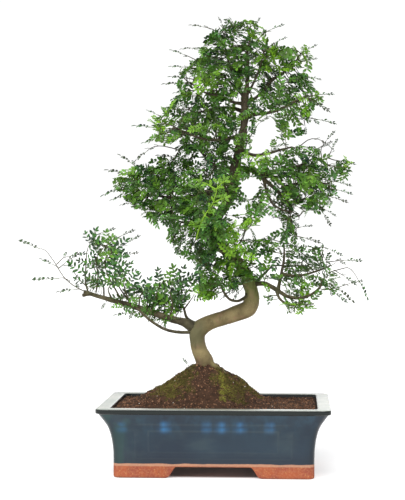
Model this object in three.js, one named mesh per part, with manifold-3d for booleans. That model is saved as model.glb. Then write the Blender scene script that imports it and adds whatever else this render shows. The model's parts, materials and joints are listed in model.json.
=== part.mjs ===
// Chinese pepper bonsai in its rectangular glazed pot. Millimetres, +Z up, front of the pot toward -Y.
// The tree leans and bends as one grown piece of wood, stands in a mound of soil, and carries its
// pinnate leaves in sprays, each spray a green shoot with the leaves grown on it.
import * as THREE from 'three';
import { mergeVertices } from 'three/addons/utils/BufferGeometryUtils.js';
import Module from 'manifold-3d';

const wasm = await Module();
wasm.setup();

// Driving dimensions
const rimLength = 330;
const rimWidth = 235;
const rimTop = 99.5;
const footHeight = 16;
const floorTop = 27;
const soilLevel = 95;
const moundTop = 157;
const fit = 0.3;
const leafLength = 63;
const leafletLength = 19;
const bladeThickness = 0.8;

const v3 = (x, y, z) => new THREE.Vector3(x, y, z);
const up = v3(0, 0, 1);

// Seeded draw, so that the tree grows the same way each time
function seeded(seed) {
  let state = seed >>> 0;
  return () => {
    state = (state + 0x6d2b79f5) >>> 0;
    let t = Math.imul(state ^ (state >>> 15), 1 | state);
    t = (t + Math.imul(t ^ (t >>> 7), 61 | t)) ^ t;
    return ((t ^ (t >>> 14)) >>> 0) / 4294967296;
  };
}

// Geometry whose faces share their corner points
function welded(source) {
  const flat = source.index ? source.toNonIndexed() : source.clone();
  flat.deleteAttribute('normal');
  flat.deleteAttribute('uv');
  return mergeVertices(flat, 1e-4);
}

// Closed solid for the cuts and joins, from a three.js geometry
function solid(source) {
  const merged = welded(source);
  const corners = merged.index.array;
  const faces = [];
  for (let i = 0; i < corners.length; i += 3) {
    const [a, b, c] = [corners[i], corners[i + 1], corners[i + 2]];
    if (a !== b && b !== c && c !== a) {
      faces.push(a, b, c);
    }
  }
  return new wasm.Manifold(new wasm.Mesh({
    numProp: 3,
    vertProperties: new Float32Array(merged.attributes.position.array),
    triVerts: new Uint32Array(faces),
  }));
}

// Faceted geometry from a closed solid
function shown(body) {
  const mesh = body.getMesh();
  const geometry = new THREE.BufferGeometry();
  const points = [];
  for (let i = 0; i < mesh.vertProperties.length; i += mesh.numProp) {
    points.push(mesh.vertProperties[i], mesh.vertProperties[i + 1], mesh.vertProperties[i + 2]);
  }
  geometry.setAttribute('position', new THREE.Float32BufferAttribute(points, 3));
  geometry.setIndex([...mesh.triVerts]);
  const faceted = geometry.toNonIndexed();
  faceted.computeVertexNormals();
  return faceted;
}

// Every vertex of a geometry moved by a rule
function moved(geometry, rule) {
  const at = geometry.attributes.position;
  const point = v3(0, 0, 0);
  for (let i = 0; i < at.count; i += 1) {
    point.fromBufferAttribute(at, i);
    rule(point);
    at.setXYZ(i, point.x, point.y, point.z);
  }
  return geometry;
}

// Box given by its lower and upper corners
function block(low, high) {
  const size = high.clone().sub(low);
  const geometry = new THREE.BoxGeometry(size.x, size.y, size.z);
  const middle = low.clone().add(high).multiplyScalar(0.5);
  return solid(geometry.translate(middle.x, middle.y, middle.z));
}

// POT
// How far the wall stands in from the rim at each height: a flared, hollow-sided wall under a flat lip
const wallInset = [
  [footHeight, 23], [40, 22.5], [57, 20.3], [72, 16], [84, 9], [92.5, 3.5],
  [92.6, 0], [98.3, 0], [rimTop, 1.2],
];
const cornerRadius = 9;
const lipWidth = 19;
const floorInset = 31;

function roundedRectangle(length, width, radius) {
  const shape = new THREE.Shape();
  const [x, y] = [length / 2, width / 2];
  shape.moveTo(x, y - radius);
  shape.absarc(x - radius, y - radius, radius, 0, Math.PI / 2, false);
  shape.absarc(-x + radius, y - radius, radius, Math.PI / 2, Math.PI, false);
  shape.absarc(-x + radius, -y + radius, radius, Math.PI, Math.PI * 1.5, false);
  shape.absarc(x - radius, -y + radius, radius, Math.PI * 1.5, Math.PI * 2, false);
  return shape;
}

// Upright tray shape whose outline stands in from the rim by the listed inset at each height
function tray(insets, extra) {
  const low = insets[0][0];
  const high = insets[insets.length - 1][0];
  const shape = roundedRectangle(rimLength, rimWidth, cornerRadius);
  const geometry = new THREE.ExtrudeGeometry(shape, {
    depth: insets.length - 1,
    steps: insets.length - 1,
    bevelEnabled: false,
    curveSegments: 2,
  });
  moved(geometry, (point) => {
    const level = insets[Math.round(point.z)];
    const inset = level[1] + extra;
    point.x *= (rimLength - 2 * inset) / rimLength;
    point.y *= (rimWidth - 2 * inset) / rimWidth;
    point.z = THREE.MathUtils.clamp(level[0], low, high);
  });
  return solid(geometry);
}

// Raised frame line on each side, following the hollow of the wall
const frameRelief = 1;
const frameLine = 2.4;
const frameLow = 32;
const frameHigh = 69;
const frameHalfLong = 108;
const frameHalfShort = 68;

function panelFrames() {
  const openBox = (half) => {
    const outer = block(v3(-half, -rimLength, frameLow), v3(half, rimLength, frameHigh));
    const inner = block(
      v3(frameLine - half, -rimLength - 1, frameLow + frameLine),
      v3(half - frameLine, rimLength + 1, frameHigh - frameLine),
    );
    return outer.subtract(inner);
  };
  const bands = openBox(frameHalfLong).add(openBox(frameHalfShort).rotate([0, 0, 90]));
  return tray(wallInset, -frameRelief).intersect(bands);
}

// Corner foot: an angle of bare clay, its ends and faces drawn in a little toward the ground
const footLong = 92;
const footShort = 66;
const footThick = 26;
const footDraft = 4;

function foot(sideX, sideY) {
  const x = rimLength / 2 - wallInset[0][1];
  const y = rimWidth / 2 - wallInset[0][1];
  const shape = new THREE.Shape();
  const round = 8;
  shape.moveTo(x - footLong, y);
  shape.lineTo(x - round, y);
  shape.absarc(x - round, y - round, round, Math.PI / 2, 0, true);
  shape.lineTo(x, y - footShort);
  shape.lineTo(x - footThick, y - footShort);
  shape.lineTo(x - footThick, y - footThick);
  shape.lineTo(x - footLong, y - footThick);
  shape.closePath();
  const height = footHeight + 1;
  const geometry = new THREE.ExtrudeGeometry(shape, {
    depth: height, bevelEnabled: false, curveSegments: 2,
  });
  const middle = v3(x - footLong / 2, y - footShort / 2, 0);
  moved(geometry, (point) => {
    const draft = footDraft * (1 - point.z / height);
    point.x = middle.x + (point.x - middle.x) * (1 - (2 * draft) / footLong);
    point.y = middle.y + (point.y - middle.y) * (1 - (2 * draft) / footShort);
  });
  const body = solid(geometry);
  return body.scale([sideX, sideY, 1]);
}

const drainPlaces = [-78, 78];
const drainRadius = 11;

function drainHole(x) {
  const geometry = new THREE.CylinderGeometry(drainRadius, drainRadius, 30, 12);
  return solid(geometry.rotateX(Math.PI / 2).translate(x, 0, footHeight + 4));
}

const cavityInset = [[floorTop, floorInset], [60, 26], [rimTop + 1, lipWidth], [moundTop + 20, lipWidth]];

function potBody() {
  let body = tray(wallInset, 0).add(panelFrames());
  for (const sideX of [-1, 1]) {
    for (const sideY of [-1, 1]) {
      body = body.add(foot(sideX, sideY));
    }
  }
  body = body.subtract(tray(cavityInset, 0));
  for (const x of drainPlaces) {
    body = body.subtract(drainHole(x));
  }
  return body;
}

// DRAIN MESH
// Square of plastic netting laid over each drain hole, under the soil
const netSide = 34;
const netThickness = 1.2;
const netBar = 3;
const netOpenings = 2;

function drainNet(x) {
  const half = netSide / 2;
  const low = floorTop + fit;
  let net = block(v3(x - half, -half, low), v3(x + half, half, low + netThickness));
  const pitch = (netSide - netBar) / netOpenings;
  for (let i = 0; i < netOpenings; i += 1) {
    for (let j = 0; j < netOpenings; j += 1) {
      const left = x - half + netBar + i * pitch;
      const front = -half + netBar + j * pitch;
      const opening = block(
        v3(left, front, low - 1),
        v3(left + pitch - netBar, front + pitch - netBar, low + netThickness + 1),
      );
      net = net.subtract(opening);
    }
  }
  return net;
}

// WOOD
// Tapered, bent round limb through points [x, y, z, radius]; extra widens and lengthens it, for the hole
// that it leaves in the soil
function limb(route, sides, segments, extra = 0, roughness = 0, seed = 1) {
  const curve = new THREE.CatmullRomCurve3(route.map((p) => v3(p[0], p[1], p[2])), false, 'centripetal');
  const random = seeded(seed);
  const rings = [];
  let across = Math.abs(curve.getTangent(0).z) > 0.9 ? v3(1, 0, 0) : v3(0, 0, 1);
  for (let k = 0; k <= segments; k += 1) {
    const t = k / segments;
    const along = curve.getTangent(t);
    across = across.clone().addScaledVector(along, -across.dot(along)).normalize();
    const place = t * (route.length - 1);
    const i = Math.min(Math.floor(place), route.length - 2);
    const radius = THREE.MathUtils.lerp(route[i][3], route[i + 1][3], place - i) + extra;
    const bumps = Array.from({ length: sides }, () => 1 + roughness * (random() - 0.5));
    const overrun = (Number(k === segments) - Number(k === 0)) * extra;
    const centre = curve.getPoint(t).addScaledVector(along, overrun);
    rings.push({ centre, across, other: along.clone().cross(across), radius, bumps });
  }
  const geometry = new THREE.CylinderGeometry(1, 1, 1, sides, segments);
  moved(geometry, (point) => {
    const ring = rings[Math.round((0.5 - point.y) * segments)];
    const reach = Math.hypot(point.x, point.z);
    const turn = Math.atan2(point.x, point.z);
    const side = (Math.round((turn / (2 * Math.PI)) * sides) + sides) % sides;
    const radius = reach * ring.radius * ring.bumps[side];
    point.copy(ring.centre);
    point.addScaledVector(ring.across, Math.cos(turn) * radius);
    point.addScaledVector(ring.other, -Math.sin(turn) * radius);
  });
  return solid(geometry);
}

// Trunk from the root stub in the mound, up the S-bend to the leader's tip
const trunkRoute = [
  [-17, 3, 122, 14], [-18, 0, 152, 12.6], [-25, 0, 175, 10.6], [-28, -2, 192, 9.9], [-22, -3, 210, 9.5],
  [-5, -2, 219, 9], [14, 0, 224, 8.8], [34, 3, 231, 8.9], [48, 4, 243, 9.1], [51, 2, 258, 8.8],
  [46, -2, 276, 8.3], [36, -4, 296, 8], [16, -5, 318, 7.7], [0, -2, 336, 7.4], [-3, 0, 352, 7.2],
  [4, 2, 373, 7], [18, 3, 396, 6.8], [26, 1, 428, 6.5], [33, -1, 467, 5.9], [40, -2, 505, 5.1],
  [41, 0, 548, 4.3], [37, 2, 580, 2.9], [32, 2, 600, 2],
];

const trunkStem = (extra) => limb(trunkRoute, 8, 33, extra, 0.1, 7);

// Surface roots, running out of the collar and down the mound, half sunk in it
const rootRoutes = [
  [[-16, 2, 150, 6.5], [4, -6, 149, 5], [24, -12, 138, 4], [46, -16, 119, 2.6]],
  [[-18, 2, 150, 6.5], [-34, -10, 146, 4.6], [-54, -26, 130, 2.6]],
  [[-17, 2, 150, 6.5], [-26, 22, 146, 4.6], [-34, 46, 128, 2.6]],
];

// Main limbs: start and end radius, then the route from inside the trunk out to the foliage
const limbRoutes = {
  low_left: [6, 3, [-27, 0, 206], [-44, -4, 216], [-64, -8, 222], [-85, -9, 228], [-108, -8, 236],
    [-134, -4, 243], [-160, 0, 249], [-196, 6, 261]],
  left_tip: [2.2, 1.5, [-188, 5, 258], [-200, 4, 262], [-214, 4, 266]],
  left_shoot: [2.2, 1.4, [-190, 5, 258], [-204, 7, 274], [-215, 8, 288], [-228, 6, 304]],
  low_left_under: [2.6, 1.6, [-27, -3, 200], [-49, -8, 199], [-70, -17, 203], [-90, -21, 213],
    [-108, -26, 233]],
  hook: [2.4, 1.6, [47, -3, 256], [34, -12, 249], [20, -22, 250], [11, -27, 266], [6, -30, 286]],
  low_right: [4, 1.6, [48, 1, 270], [68, -5, 273], [86, -11, 264], [104, -14, 256], [126, -10, 253],
    [146, -3, 259], [162, -1, 263], [176, 0, 262]],
  low_right_up: [2.6, 1.5, [86, -12, 264], [91, -6, 285], [98, 2, 308], [106, 8, 328]],
  low_right_out: [2.4, 1.5, [102, -13, 257], [114, 2, 272], [126, 12, 284], [136, 18, 292]],
  back_low: [3.2, 1.6, [48, 3, 266], [52, 30, 276], [46, 56, 290], [36, 80, 304]],
  mid_left: [3.6, 1.6, [-1, -2, 340], [-18, -12, 350], [-38, -20, 360], [-62, -22, 368]],
  centre_low: [2.8, 1.5, [22, -5, 312], [16, -22, 306], [8, -38, 306], [0, -50, 312]],
  mid_back: [3.2, 1.6, [-3, 2, 350], [-9, 22, 360], [-15, 42, 374], [-18, 62, 390]],
  left: [4.2, 1.6, [19, 2, 400], [-2, -6, 405], [-30, -13, 400], [-62, -14, 397], [-84, -12, 399],
    [-102, -9, 402]],
  left_high: [3.6, 1.6, [27, 0, 438], [7, 8, 443], [-17, 14, 440], [-44, 18, 436]],
  front: [2.8, 1.5, [22, 2, 410], [17, -16, 409], [11, -32, 406], [5, -46, 402]],
  back: [3.2, 1.6, [24, 2, 418], [16, 26, 428], [6, 48, 438], [-2, 68, 448]],
  right: [4.6, 2, [28, 0, 440], [46, -6, 441], [64, -10, 435], [84, -12, 421], [102, -10, 407],
    [110, -8, 388]],
  right_out: [2.8, 1.5, [96, -11, 412], [110, -6, 416], [122, -2, 420], [134, 1, 423]],
  right_high: [2.8, 1.5, [62, -10, 436], [82, -2, 446], [102, 6, 456]],
  right_back: [2.8, 1.5, [74, -11, 428], [86, 6, 428], [98, 24, 429], [108, 42, 428]],
  right_low: [2.2, 1.5, [108, -9, 398], [116, -14, 392], [126, -18, 388]],
  upper_left: [3.4, 1.5, [37, -2, 490], [18, -10, 487], [-4, -18, 488], [-28, -22, 494], [-60, -20, 500]],
  upper_left_back: [3.2, 1.5, [40, -1, 522], [22, 10, 524], [0, 26, 522], [-22, 44, 518]],
  top_left: [2.8, 1.5, [41, 0, 545], [23, -9, 552], [2, -14, 562], [-18, -16, 574]],
  top_left_back: [2.4, 1.5, [38, 1, 572], [24, 18, 580], [10, 34, 586]],
  top_right: [2.6, 1.5, [40, 0, 558], [50, -5, 576], [57, -7, 592]],
  right_top: [3.8, 1.5, [41, -1, 520], [58, -6, 522], [74, -10, 524], [90, -12, 528], [106, -13, 533]],
  right_top_up: [3, 1.5, [41, 0, 538], [58, 6, 554], [76, 10, 566], [98, 12, 574]],
  right_top_back: [2.6, 1.5, [60, 6, 556], [76, 26, 560], [92, 48, 562]],
};

// Limb routes with the radius falling evenly from start to end
function tapered([first, last, ...points]) {
  return points.map((p, i) => [...p, first + (last - first) * (i / (points.length - 1))]);
}

// SOIL
// Height of the soil above the pot's base at each distance from the collar
const moundProfile = [
  [0, moundTop], [14, 153.5], [30, 144], [46, 134], [62, 122], [80, 107], [102, 96],
];
const moundCentre = v3(-17, 0, 0);
const moundSquash = 0.86;

function soilBody() {
  const reach = rimLength;
  const outline = [
    new THREE.Vector2(0, 0), new THREE.Vector2(reach, 0), new THREE.Vector2(reach, soilLevel - 0.5),
  ];
  for (const [distance, height] of [...moundProfile].reverse()) {
    outline.push(new THREE.Vector2(distance, height));
  }
  const geometry = welded(new THREE.LatheGeometry(outline, 16).rotateX(Math.PI / 2));
  const random = seeded(41);
  moved(geometry, (point) => {
    const scale = 1 + 0.1 * (random() - 0.5);
    point.set(point.x * scale, point.y * scale * moundSquash, point.z + 2.6 * (random() - 0.5));
    point.add(moundCentre);
  });
  const fill = tray(cavityInset.map(([height, inset]) => [height + fit, inset + fit]), 0);
  let body = fill.intersect(solid(geometry));
  const netRoom = netSide / 2 + fit;
  const netCover = floorTop + netThickness + 2 * fit;
  for (const x of drainPlaces) {
    body = body.subtract(block(v3(x - netRoom, -netRoom, 0), v3(x + netRoom, netRoom, netCover)));
  }
  body = body.subtract(trunkStem(fit));
  for (const route of rootRoutes) {
    body = body.subtract(limb(route, 5, 3, fit));
  }
  return body;
}

// FOLIAGE
// Masses of the crown: the limb that carries each, its centre x, y, z, its half extents x, y, z, and
// the number of leaves on each of its sprays
const masses = [
  ['trunk', 20, 0, 620, 46, 38, 34, [3, 2]], ['top_right', 64, -6, 612, 40, 38, 34, [3, 2]],
  ['top_left', -14, -10, 584, 58, 56, 32, [3, 2, 2]], ['top_left_back', 6, 46, 588, 50, 44, 30, [2]],
  ['right_top_up', 104, 2, 576, 54, 54, 40, [2, 2, 2]], ['right_top_back', 92, 58, 564, 48, 46, 34, [2]],
  ['right_top', 130, -12, 534, 50, 48, 32, [2]],
  ['upper_left', -38, -22, 508, 62, 60, 38, [3, 2, 2]], ['upper_left', -90, -12, 498, 32, 36, 24, [1]],
  ['upper_left_back', -24, 62, 518, 56, 44, 38, [3, 2]],
  ['left_high', -38, 4, 440, 60, 60, 38, [3, 2]], ['left', -112, -8, 412, 52, 55, 32, [2, 3, 2]],
  ['mid_left', -48, -24, 374, 48, 60, 32, [3, 2]], ['mid_back', -20, 92, 400, 60, 46, 44, [3, 2]],
  ['back', -14, 100, 458, 52, 46, 40, [2]],
  ['front', -4, -66, 390, 52, 46, 46, [2, 2]], ['centre_low', 4, -44, 322, 46, 44, 42, [2]],
  ['hook', -6, -30, 296, 42, 42, 36, [2]],
  ['right_high', 106, -6, 452, 50, 60, 36, [3, 2]], ['right_out', 158, 4, 425, 42, 56, 42, [3]],
  ['right_back', 120, 62, 424, 46, 44, 40, [2]], ['right_low', 126, -16, 392, 48, 48, 30, [2, 2]],
  ['low_right_up', 112, 4, 324, 44, 50, 34, [3]], ['low_right_out', 152, 28, 306, 44, 50, 34, [2]],
  ['low_right', 150, -14, 262, 50, 44, 28, [3]], ['low_right', 197, -2, 256, 36, 36, 26, [2]],
  ['back_low', 34, 92, 312, 46, 44, 38, [3]],
  ['low_left_under', -98, -32, 250, 46, 42, 30, [2]], ['low_left', -72, -6, 258, 44, 44, 32, [3]],
  ['low_left', -116, 4, 276, 44, 44, 34, [2]], ['low_left', -152, -2, 302, 46, 42, 44, [2, 2]],
  ['low_left', -200, 2, 286, 44, 34, 34, [2]], ['left_tip', -250, 4, 270, 40, 28, 22, [1]],
  ['left_shoot', -266, 6, 318, 44, 24, 24, [1]],
];

// Edge of one pinnate leaf in its own plane, from the foot of its stalk round the tip and back:
// pairs of pointed leaflets along the midrib and one at the end
const leafletPairs = 3;
const leafletAngle = THREE.MathUtils.degToRad(62);
const stalkHalf = 0.9;

function leafEdge(root, angle, size) {
  const leaflet = leafletLength * size;
  const length = leafLength * size;
  const first = length * 0.2;
  const pitch = (length - leaflet * 0.9 - first) / leafletPairs;
  const lean = new THREE.Vector2(Math.cos(leafletAngle), Math.sin(leafletAngle));
  const back = new THREE.Vector2(-lean.y, lean.x);
  const half = [];
  for (let i = 0; i < leafletPairs; i += 1) {
    const axil = new THREE.Vector2(first + i * pitch, stalkHalf);
    const long = leaflet * (1 - 0.1 * i);
    const belly = axil.clone().addScaledVector(lean, 0.45 * long).addScaledVector(back, 0.12 * long);
    const tip = axil.clone().addScaledVector(lean, long);
    tip.x += 0.2 * long;
    half.push(axil, belly, tip);
  }
  const end = first + leafletPairs * pitch;
  half.push(new THREE.Vector2(end - 1, stalkHalf));
  half.push(new THREE.Vector2(end + 0.4 * leaflet, 0.3 * leaflet));
  const near = half.map((point) => new THREE.Vector2(point.x, -point.y));
  const edge = [...near, new THREE.Vector2(length, 0), ...half.reverse()];
  const origin = new THREE.Vector2(0, 0);
  return edge.map((point) => point.rotateAround(origin, angle).add(root));
}

// Outline of one spray: a green shoot with a leaf at its end and one or two at its sides
const shootLength = 22;
const shootHalf = 1.2;
const sideLeaves = [{ at: 0.62, hand: 1 }, { at: 0.34, hand: -1 }];

function sprayOutline(leaves, random) {
  const side = ({ at, hand }) => {
    const root = new THREE.Vector2(at * shootLength, 0);
    const swing = hand * (1.14 + 0.16 * random());
    const [near, far] = [root.x + hand * stalkHalf, root.x - hand * stalkHalf];
    return [
      new THREE.Vector2(near, hand * shootHalf),
      ...leafEdge(root, swing, 0.9 + 0.12 * random()),
      new THREE.Vector2(far, hand * shootHalf),
    ];
  };
  const [left, right] = [1, -1].map((hand) => (
    sideLeaves.slice(0, leaves - 1).filter((place) => place.hand === hand).flatMap(side)
  ));
  return new THREE.Shape([
    new THREE.Vector2(0, -shootHalf),
    ...right,
    ...leafEdge(new THREE.Vector2(shootLength, 0), 0.2 * (random() - 0.5), 0.95 + 0.12 * random()),
    ...left,
    new THREE.Vector2(0, shootHalf),
  ]);
}

// One spray standing at its foot: the side leaves lift, the whole droops outward and twists a little
function spray(foot, along, face, leaves, random) {
  const geometry = new THREE.ExtrudeGeometry(sprayOutline(leaves, random), {
    depth: bladeThickness, bevelEnabled: false,
  });
  const lift = 0.1 + 0.3 * random();
  const droop = 0.15 + 0.35 * random();
  const twist = 0.8 * (random() - 0.5);
  const side = face.clone().cross(along).normalize();
  const reach = shootLength + leafLength;
  moved(geometry, (point) => {
    const { x: forward, y: sideways } = point;
    const out = Math.hypot(forward, sideways) / reach;
    const height = point.z - bladeThickness / 2 + lift * Math.abs(sideways)
      - droop * reach * out * out + (twist * forward * sideways) / reach;
    point.copy(foot).addScaledVector(along, forward)
      .addScaledVector(side, sideways)
      .addScaledVector(face, height);
  });
  return solid(geometry);
}

// Points near the middle and the tip of each leaf that a spray would have
function leafPlaces(foot, along, face, leaves) {
  const side = face.clone().cross(along).normalize();
  const places = [];
  for (const share of [0.4, 0.9]) {
    places.push(foot.clone().addScaledVector(along, shootLength + share * leafLength));
    for (const { at, hand } of sideLeaves.slice(0, leaves - 1)) {
      const forward = at * shootLength + 0.35 * share * leafLength;
      const place = foot.clone().addScaledVector(along, forward);
      places.push(place.addScaledVector(side, hand * 0.93 * share * leafLength));
    }
  }
  return places;
}

// Inside one of the crown's masses, so that the light gaps between them stay open
function inside(point, [, x, y, z, rx, ry, rz], slack) {
  const dx = (point.x - x) / (rx + slack);
  const dy = (point.y - y) / (ry + slack);
  const dz = (point.z - z) / (rz + slack);
  return dx * dx + dy * dy + dz * dz < 1;
}

// One draw of a place for a spray: where its side shoot leaves the limb, or the limb's own tip, where
// the spray takes over, and which way it goes and faces
const lightSide = v3(15, 15, 0);

function drawPlace(route, mass, atTip, random) {
  const [, x, y, z, rx, ry, rz] = mass;
  const jitter = () => v3(random() - 0.5, random() - 0.5, random() - 0.5);
  const shift = jitter().multiplyScalar(1.7);
  const aim = v3(x, y, z).add(shift.clone().multiply(v3(rx, ry, rz)));
  const [before, last] = route.slice(-2).map((p) => v3(p[0], p[1], p[2]));
  const onward = last.clone().sub(before).normalize();
  const along = v3(aim.x - lightSide.x, aim.y, 0).normalize().multiplyScalar(0.4)
    .addScaledVector(shift, 0.8)
    .add(jitter())
    .addScaledVector(onward, atTip ? 2 : 0)
    .addScaledVector(up, 0.2)
    .normalize();
  const place = (0.4 + 0.6 * random()) * (route.length - 1);
  const i = Math.min(Math.floor(place), route.length - 2);
  const [a, b] = [route[i], route[i + 1]];
  const start = atTip ? last : v3(a[0], a[1], a[2]).lerp(v3(b[0], b[1], b[2]), place - i);
  const thick = THREE.MathUtils.lerp(a[3], b[3], place - i);
  const foot = atTip ? last : aim.addScaledVector(along, -0.5 * (shootLength + leafLength));
  const span = foot.clone().sub(start);
  const open = v3(0.4 * (foot.x - lightSide.x), foot.y - lightSide.y, 0).normalize();
  const face = up.clone().multiplyScalar(0.2 + 0.5 * random()).addScaledVector(open, 1.1).add(jitter());
  face.addScaledVector(along, -face.dot(along)).normalize();
  const fits = atTip
    ? onward.angleTo(along) < 0.8
    : span.length() > thick + 8 && span.length() < 70 && span.angleTo(along) < 1.3;
  return fits ? { start, thick, foot, along, face, onward: atTip ? onward : along } : null;
}

// Woody side shoot from inside its limb to the foot of the spray, arriving along the spray's course
function sideShoot({ start, thick, foot, along }) {
  const bend = foot.clone().addScaledVector(along, -0.45 * start.distanceTo(foot));
  return limb([
    [start.x, start.y, start.z, Math.min(thick, 2)],
    [bend.x, bend.y, bend.z, 1.6],
    [foot.x, foot.y, foot.z, 1.3],
  ], 4, 2);
}

// Grows the sprays one by one: each is drawn many times, and of the draws that stand clear of the wood,
// the pot, the soil and the other sprays, the one kept fills the emptiest part of its mass, with its
// blades turned to the front or the back of the crown rather than edge-on
const clearance = 0.5;
const draws = 1500;

function grow(wood, others) {
  const sprays = [];
  const filled = [];
  const tipsTaken = new Set();
  let tree = wood;
  const random = seeded(20);
  const clear = (body, neighbours) => neighbours.every((other) => body.minGap(other, 2) >= clearance);
  for (const mass of masses) {
    const [carrier] = mass;
    const route = carrier === 'trunk' ? trunkRoute.slice(-3) : tapered(limbRoutes[carrier]);
    const tip = route[route.length - 1];
    for (const leaves of mass[7]) {
      const tipFree = !tipsTaken.has(carrier) && inside(v3(tip[0], tip[1], tip[2]), mass, 20);
      let best = { room: 0 };
      for (let draw = 0; draw < (tipFree ? 2 : 1) * draws; draw += 1) {
        const atTip = tipFree && draw < draws;
        if (best.twig === null && !atTip) {
          break;
        }
        const place = drawPlace(route, mass, atTip, random);
        const spots = place ? leafPlaces(place.foot, place.along, place.face, leaves) : [];
        if (!place || !spots.every((spot) => masses.some((other) => inside(spot, other, 12)))) {
          continue;
        }
        const nearest = Math.min(60, ...spots.flatMap((spot) => filled.map((f) => f.distanceTo(spot))));
        const room = nearest * (0.5 + 0.5 * Math.abs(place.face.y));
        if (room <= best.room) {
          continue;
        }
        const foot = place.foot.clone().addScaledVector(place.onward, atTip ? 2 * fit : fit);
        const green = spray(foot, place.along, place.face, leaves, random);
        const twig = atTip ? null : sideShoot(place);
        const seated = atTip || green.minGap(twig, 2) > 0.1;
        const greenClear = atTip
          ? green.minGap(tree, 2) > 0.1 && clear(green, [...others, ...sprays])
          : clear(green, [tree, ...others, ...sprays]);
        if (seated && greenClear && (atTip || clear(twig, [...others, ...sprays]))) {
          best = { room, twig, green, spots };
        }
      }
      if (best.green) {
        tree = best.twig ? tree.add(best.twig) : tree;
        sprays.push(best.green);
        filled.push(...best.spots);
        if (!best.twig) {
          tipsTaken.add(carrier);
        }
      }
    }
  }
  return { tree, sprays };
}

// ASSEMBLY
const finishes = {
  pot: { color: 0x1f3550, roughness: 0.28, metalness: 0 },
  drain_net: { color: 0x202422, roughness: 0.6, metalness: 0 },
  soil: { color: 0x5a3826, roughness: 0.95, metalness: 0 },
  trunk: { color: 0x8a7650, roughness: 0.8, metalness: 0 },
  leaf: { color: 0x2f6b25, roughness: 0.45, metalness: 0 },
};

const bonsai = new THREE.Group();
bonsai.name = 'chinese_pepper_bonsai';

function add(name, body, finish) {
  const mesh = new THREE.Mesh(shown(body), new THREE.MeshStandardMaterial(finishes[finish]));
  mesh.name = name;
  bonsai.add(mesh);
}

const pot = potBody();
const soil = soilBody();
let wood = trunkStem(0);
for (const route of rootRoutes) {
  wood = wood.add(limb(route, 5, 3));
}
for (const route of Object.values(limbRoutes)) {
  wood = wood.add(limb(tapered(route), route[0] > 3 ? 5 : 4, route.length - 3));
}
const { tree, sprays } = grow(wood, [pot, soil]);

add('pot', pot, 'pot');
drainPlaces.forEach((x, i) => add(`drain_net_${i + 1}`, drainNet(x), 'drain_net'));
add('soil', soil, 'soil');
add('trunk', tree, 'trunk');
sprays.forEach((body, i) => add(`spray_${String(i + 1).padStart(2, '0')}`, body, 'leaf'));

// The origin is the middle of the whole outline, on the surface the pot stands on
const bounds = new THREE.Box3().setFromObject(bonsai);
const middle = bounds.getCenter(v3(0, 0, 0));
bonsai.position.set(-middle.x, -middle.y, -bounds.min.z);

export default bonsai;
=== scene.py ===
# Chinese pepper bonsai in its glazed pot: the looks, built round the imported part. Metres, +Z up,
# front toward -Y. The file follows the tree as it is potted: pot, netting, soil, moss, wood, leaves,
# then the white studio floor that it stands on.
import json
import math
import random
from collections import defaultdict

import bpy
import numpy as np
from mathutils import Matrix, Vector, noise
from mathutils.kdtree import KDTree

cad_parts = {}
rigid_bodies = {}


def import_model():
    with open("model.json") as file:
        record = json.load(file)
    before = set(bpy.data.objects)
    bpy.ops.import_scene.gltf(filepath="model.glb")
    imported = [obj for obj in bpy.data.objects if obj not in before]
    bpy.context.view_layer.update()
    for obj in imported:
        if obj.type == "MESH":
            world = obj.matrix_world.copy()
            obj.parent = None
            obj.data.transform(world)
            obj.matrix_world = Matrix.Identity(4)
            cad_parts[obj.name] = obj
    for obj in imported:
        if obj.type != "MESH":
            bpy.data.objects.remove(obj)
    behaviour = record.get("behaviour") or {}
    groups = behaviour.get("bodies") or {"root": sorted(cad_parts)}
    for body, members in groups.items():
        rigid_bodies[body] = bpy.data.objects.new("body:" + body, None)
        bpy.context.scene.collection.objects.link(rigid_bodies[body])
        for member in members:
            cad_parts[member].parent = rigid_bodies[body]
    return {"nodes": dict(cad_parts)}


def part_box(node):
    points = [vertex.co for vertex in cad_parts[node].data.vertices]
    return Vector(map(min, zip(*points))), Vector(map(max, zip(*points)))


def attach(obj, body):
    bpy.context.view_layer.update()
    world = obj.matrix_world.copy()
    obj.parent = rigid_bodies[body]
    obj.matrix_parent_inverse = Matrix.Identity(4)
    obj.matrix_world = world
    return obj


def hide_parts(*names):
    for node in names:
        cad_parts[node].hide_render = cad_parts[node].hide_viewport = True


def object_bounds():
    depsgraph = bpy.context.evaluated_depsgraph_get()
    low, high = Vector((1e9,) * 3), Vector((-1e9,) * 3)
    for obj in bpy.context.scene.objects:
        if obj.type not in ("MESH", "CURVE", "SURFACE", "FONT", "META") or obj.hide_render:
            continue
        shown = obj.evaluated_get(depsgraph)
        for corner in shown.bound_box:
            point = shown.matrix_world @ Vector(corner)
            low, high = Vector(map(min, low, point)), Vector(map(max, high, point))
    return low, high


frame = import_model()
for spare in ("Cube", "Light", "Camera"):
    if spare in bpy.data.objects:
        bpy.data.objects.remove(bpy.data.objects[spare])
cad_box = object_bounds()

# GLAZED POT
# One tray of stoneware pressed in a mould: hollow flared walls under a flat lip, a faint double frame
# on each side, four bracket feet and two drain holes. The dark blue glaze runs thin on the frames, pools
# in drops on the upper frame lines and stops above the feet, which stay bare red clay. The lip's top is
# pale where the glaze runs thin and as a painted reflection of the bright studio above; the glaze is
# darker in a band just under the lip, and painted shade darkens it along the corners.
MM = 0.001
pot_low, pot_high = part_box("pot")
pot_middle = (pot_low + pot_high) / 2
rim_long = (pot_high.x - pot_low.x) / MM
rim_wide = (pot_high.y - pot_low.y) / MM
rim_top = pot_high.z / MM
foot_height = 16
corner_radius = 9


def placed(points):
    """Places given in millimetres from the pot's middle on the ground, in the row frame"""
    return np.asarray(points, float) * MM + (pot_middle.x, pot_middle.y, 0)


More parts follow.
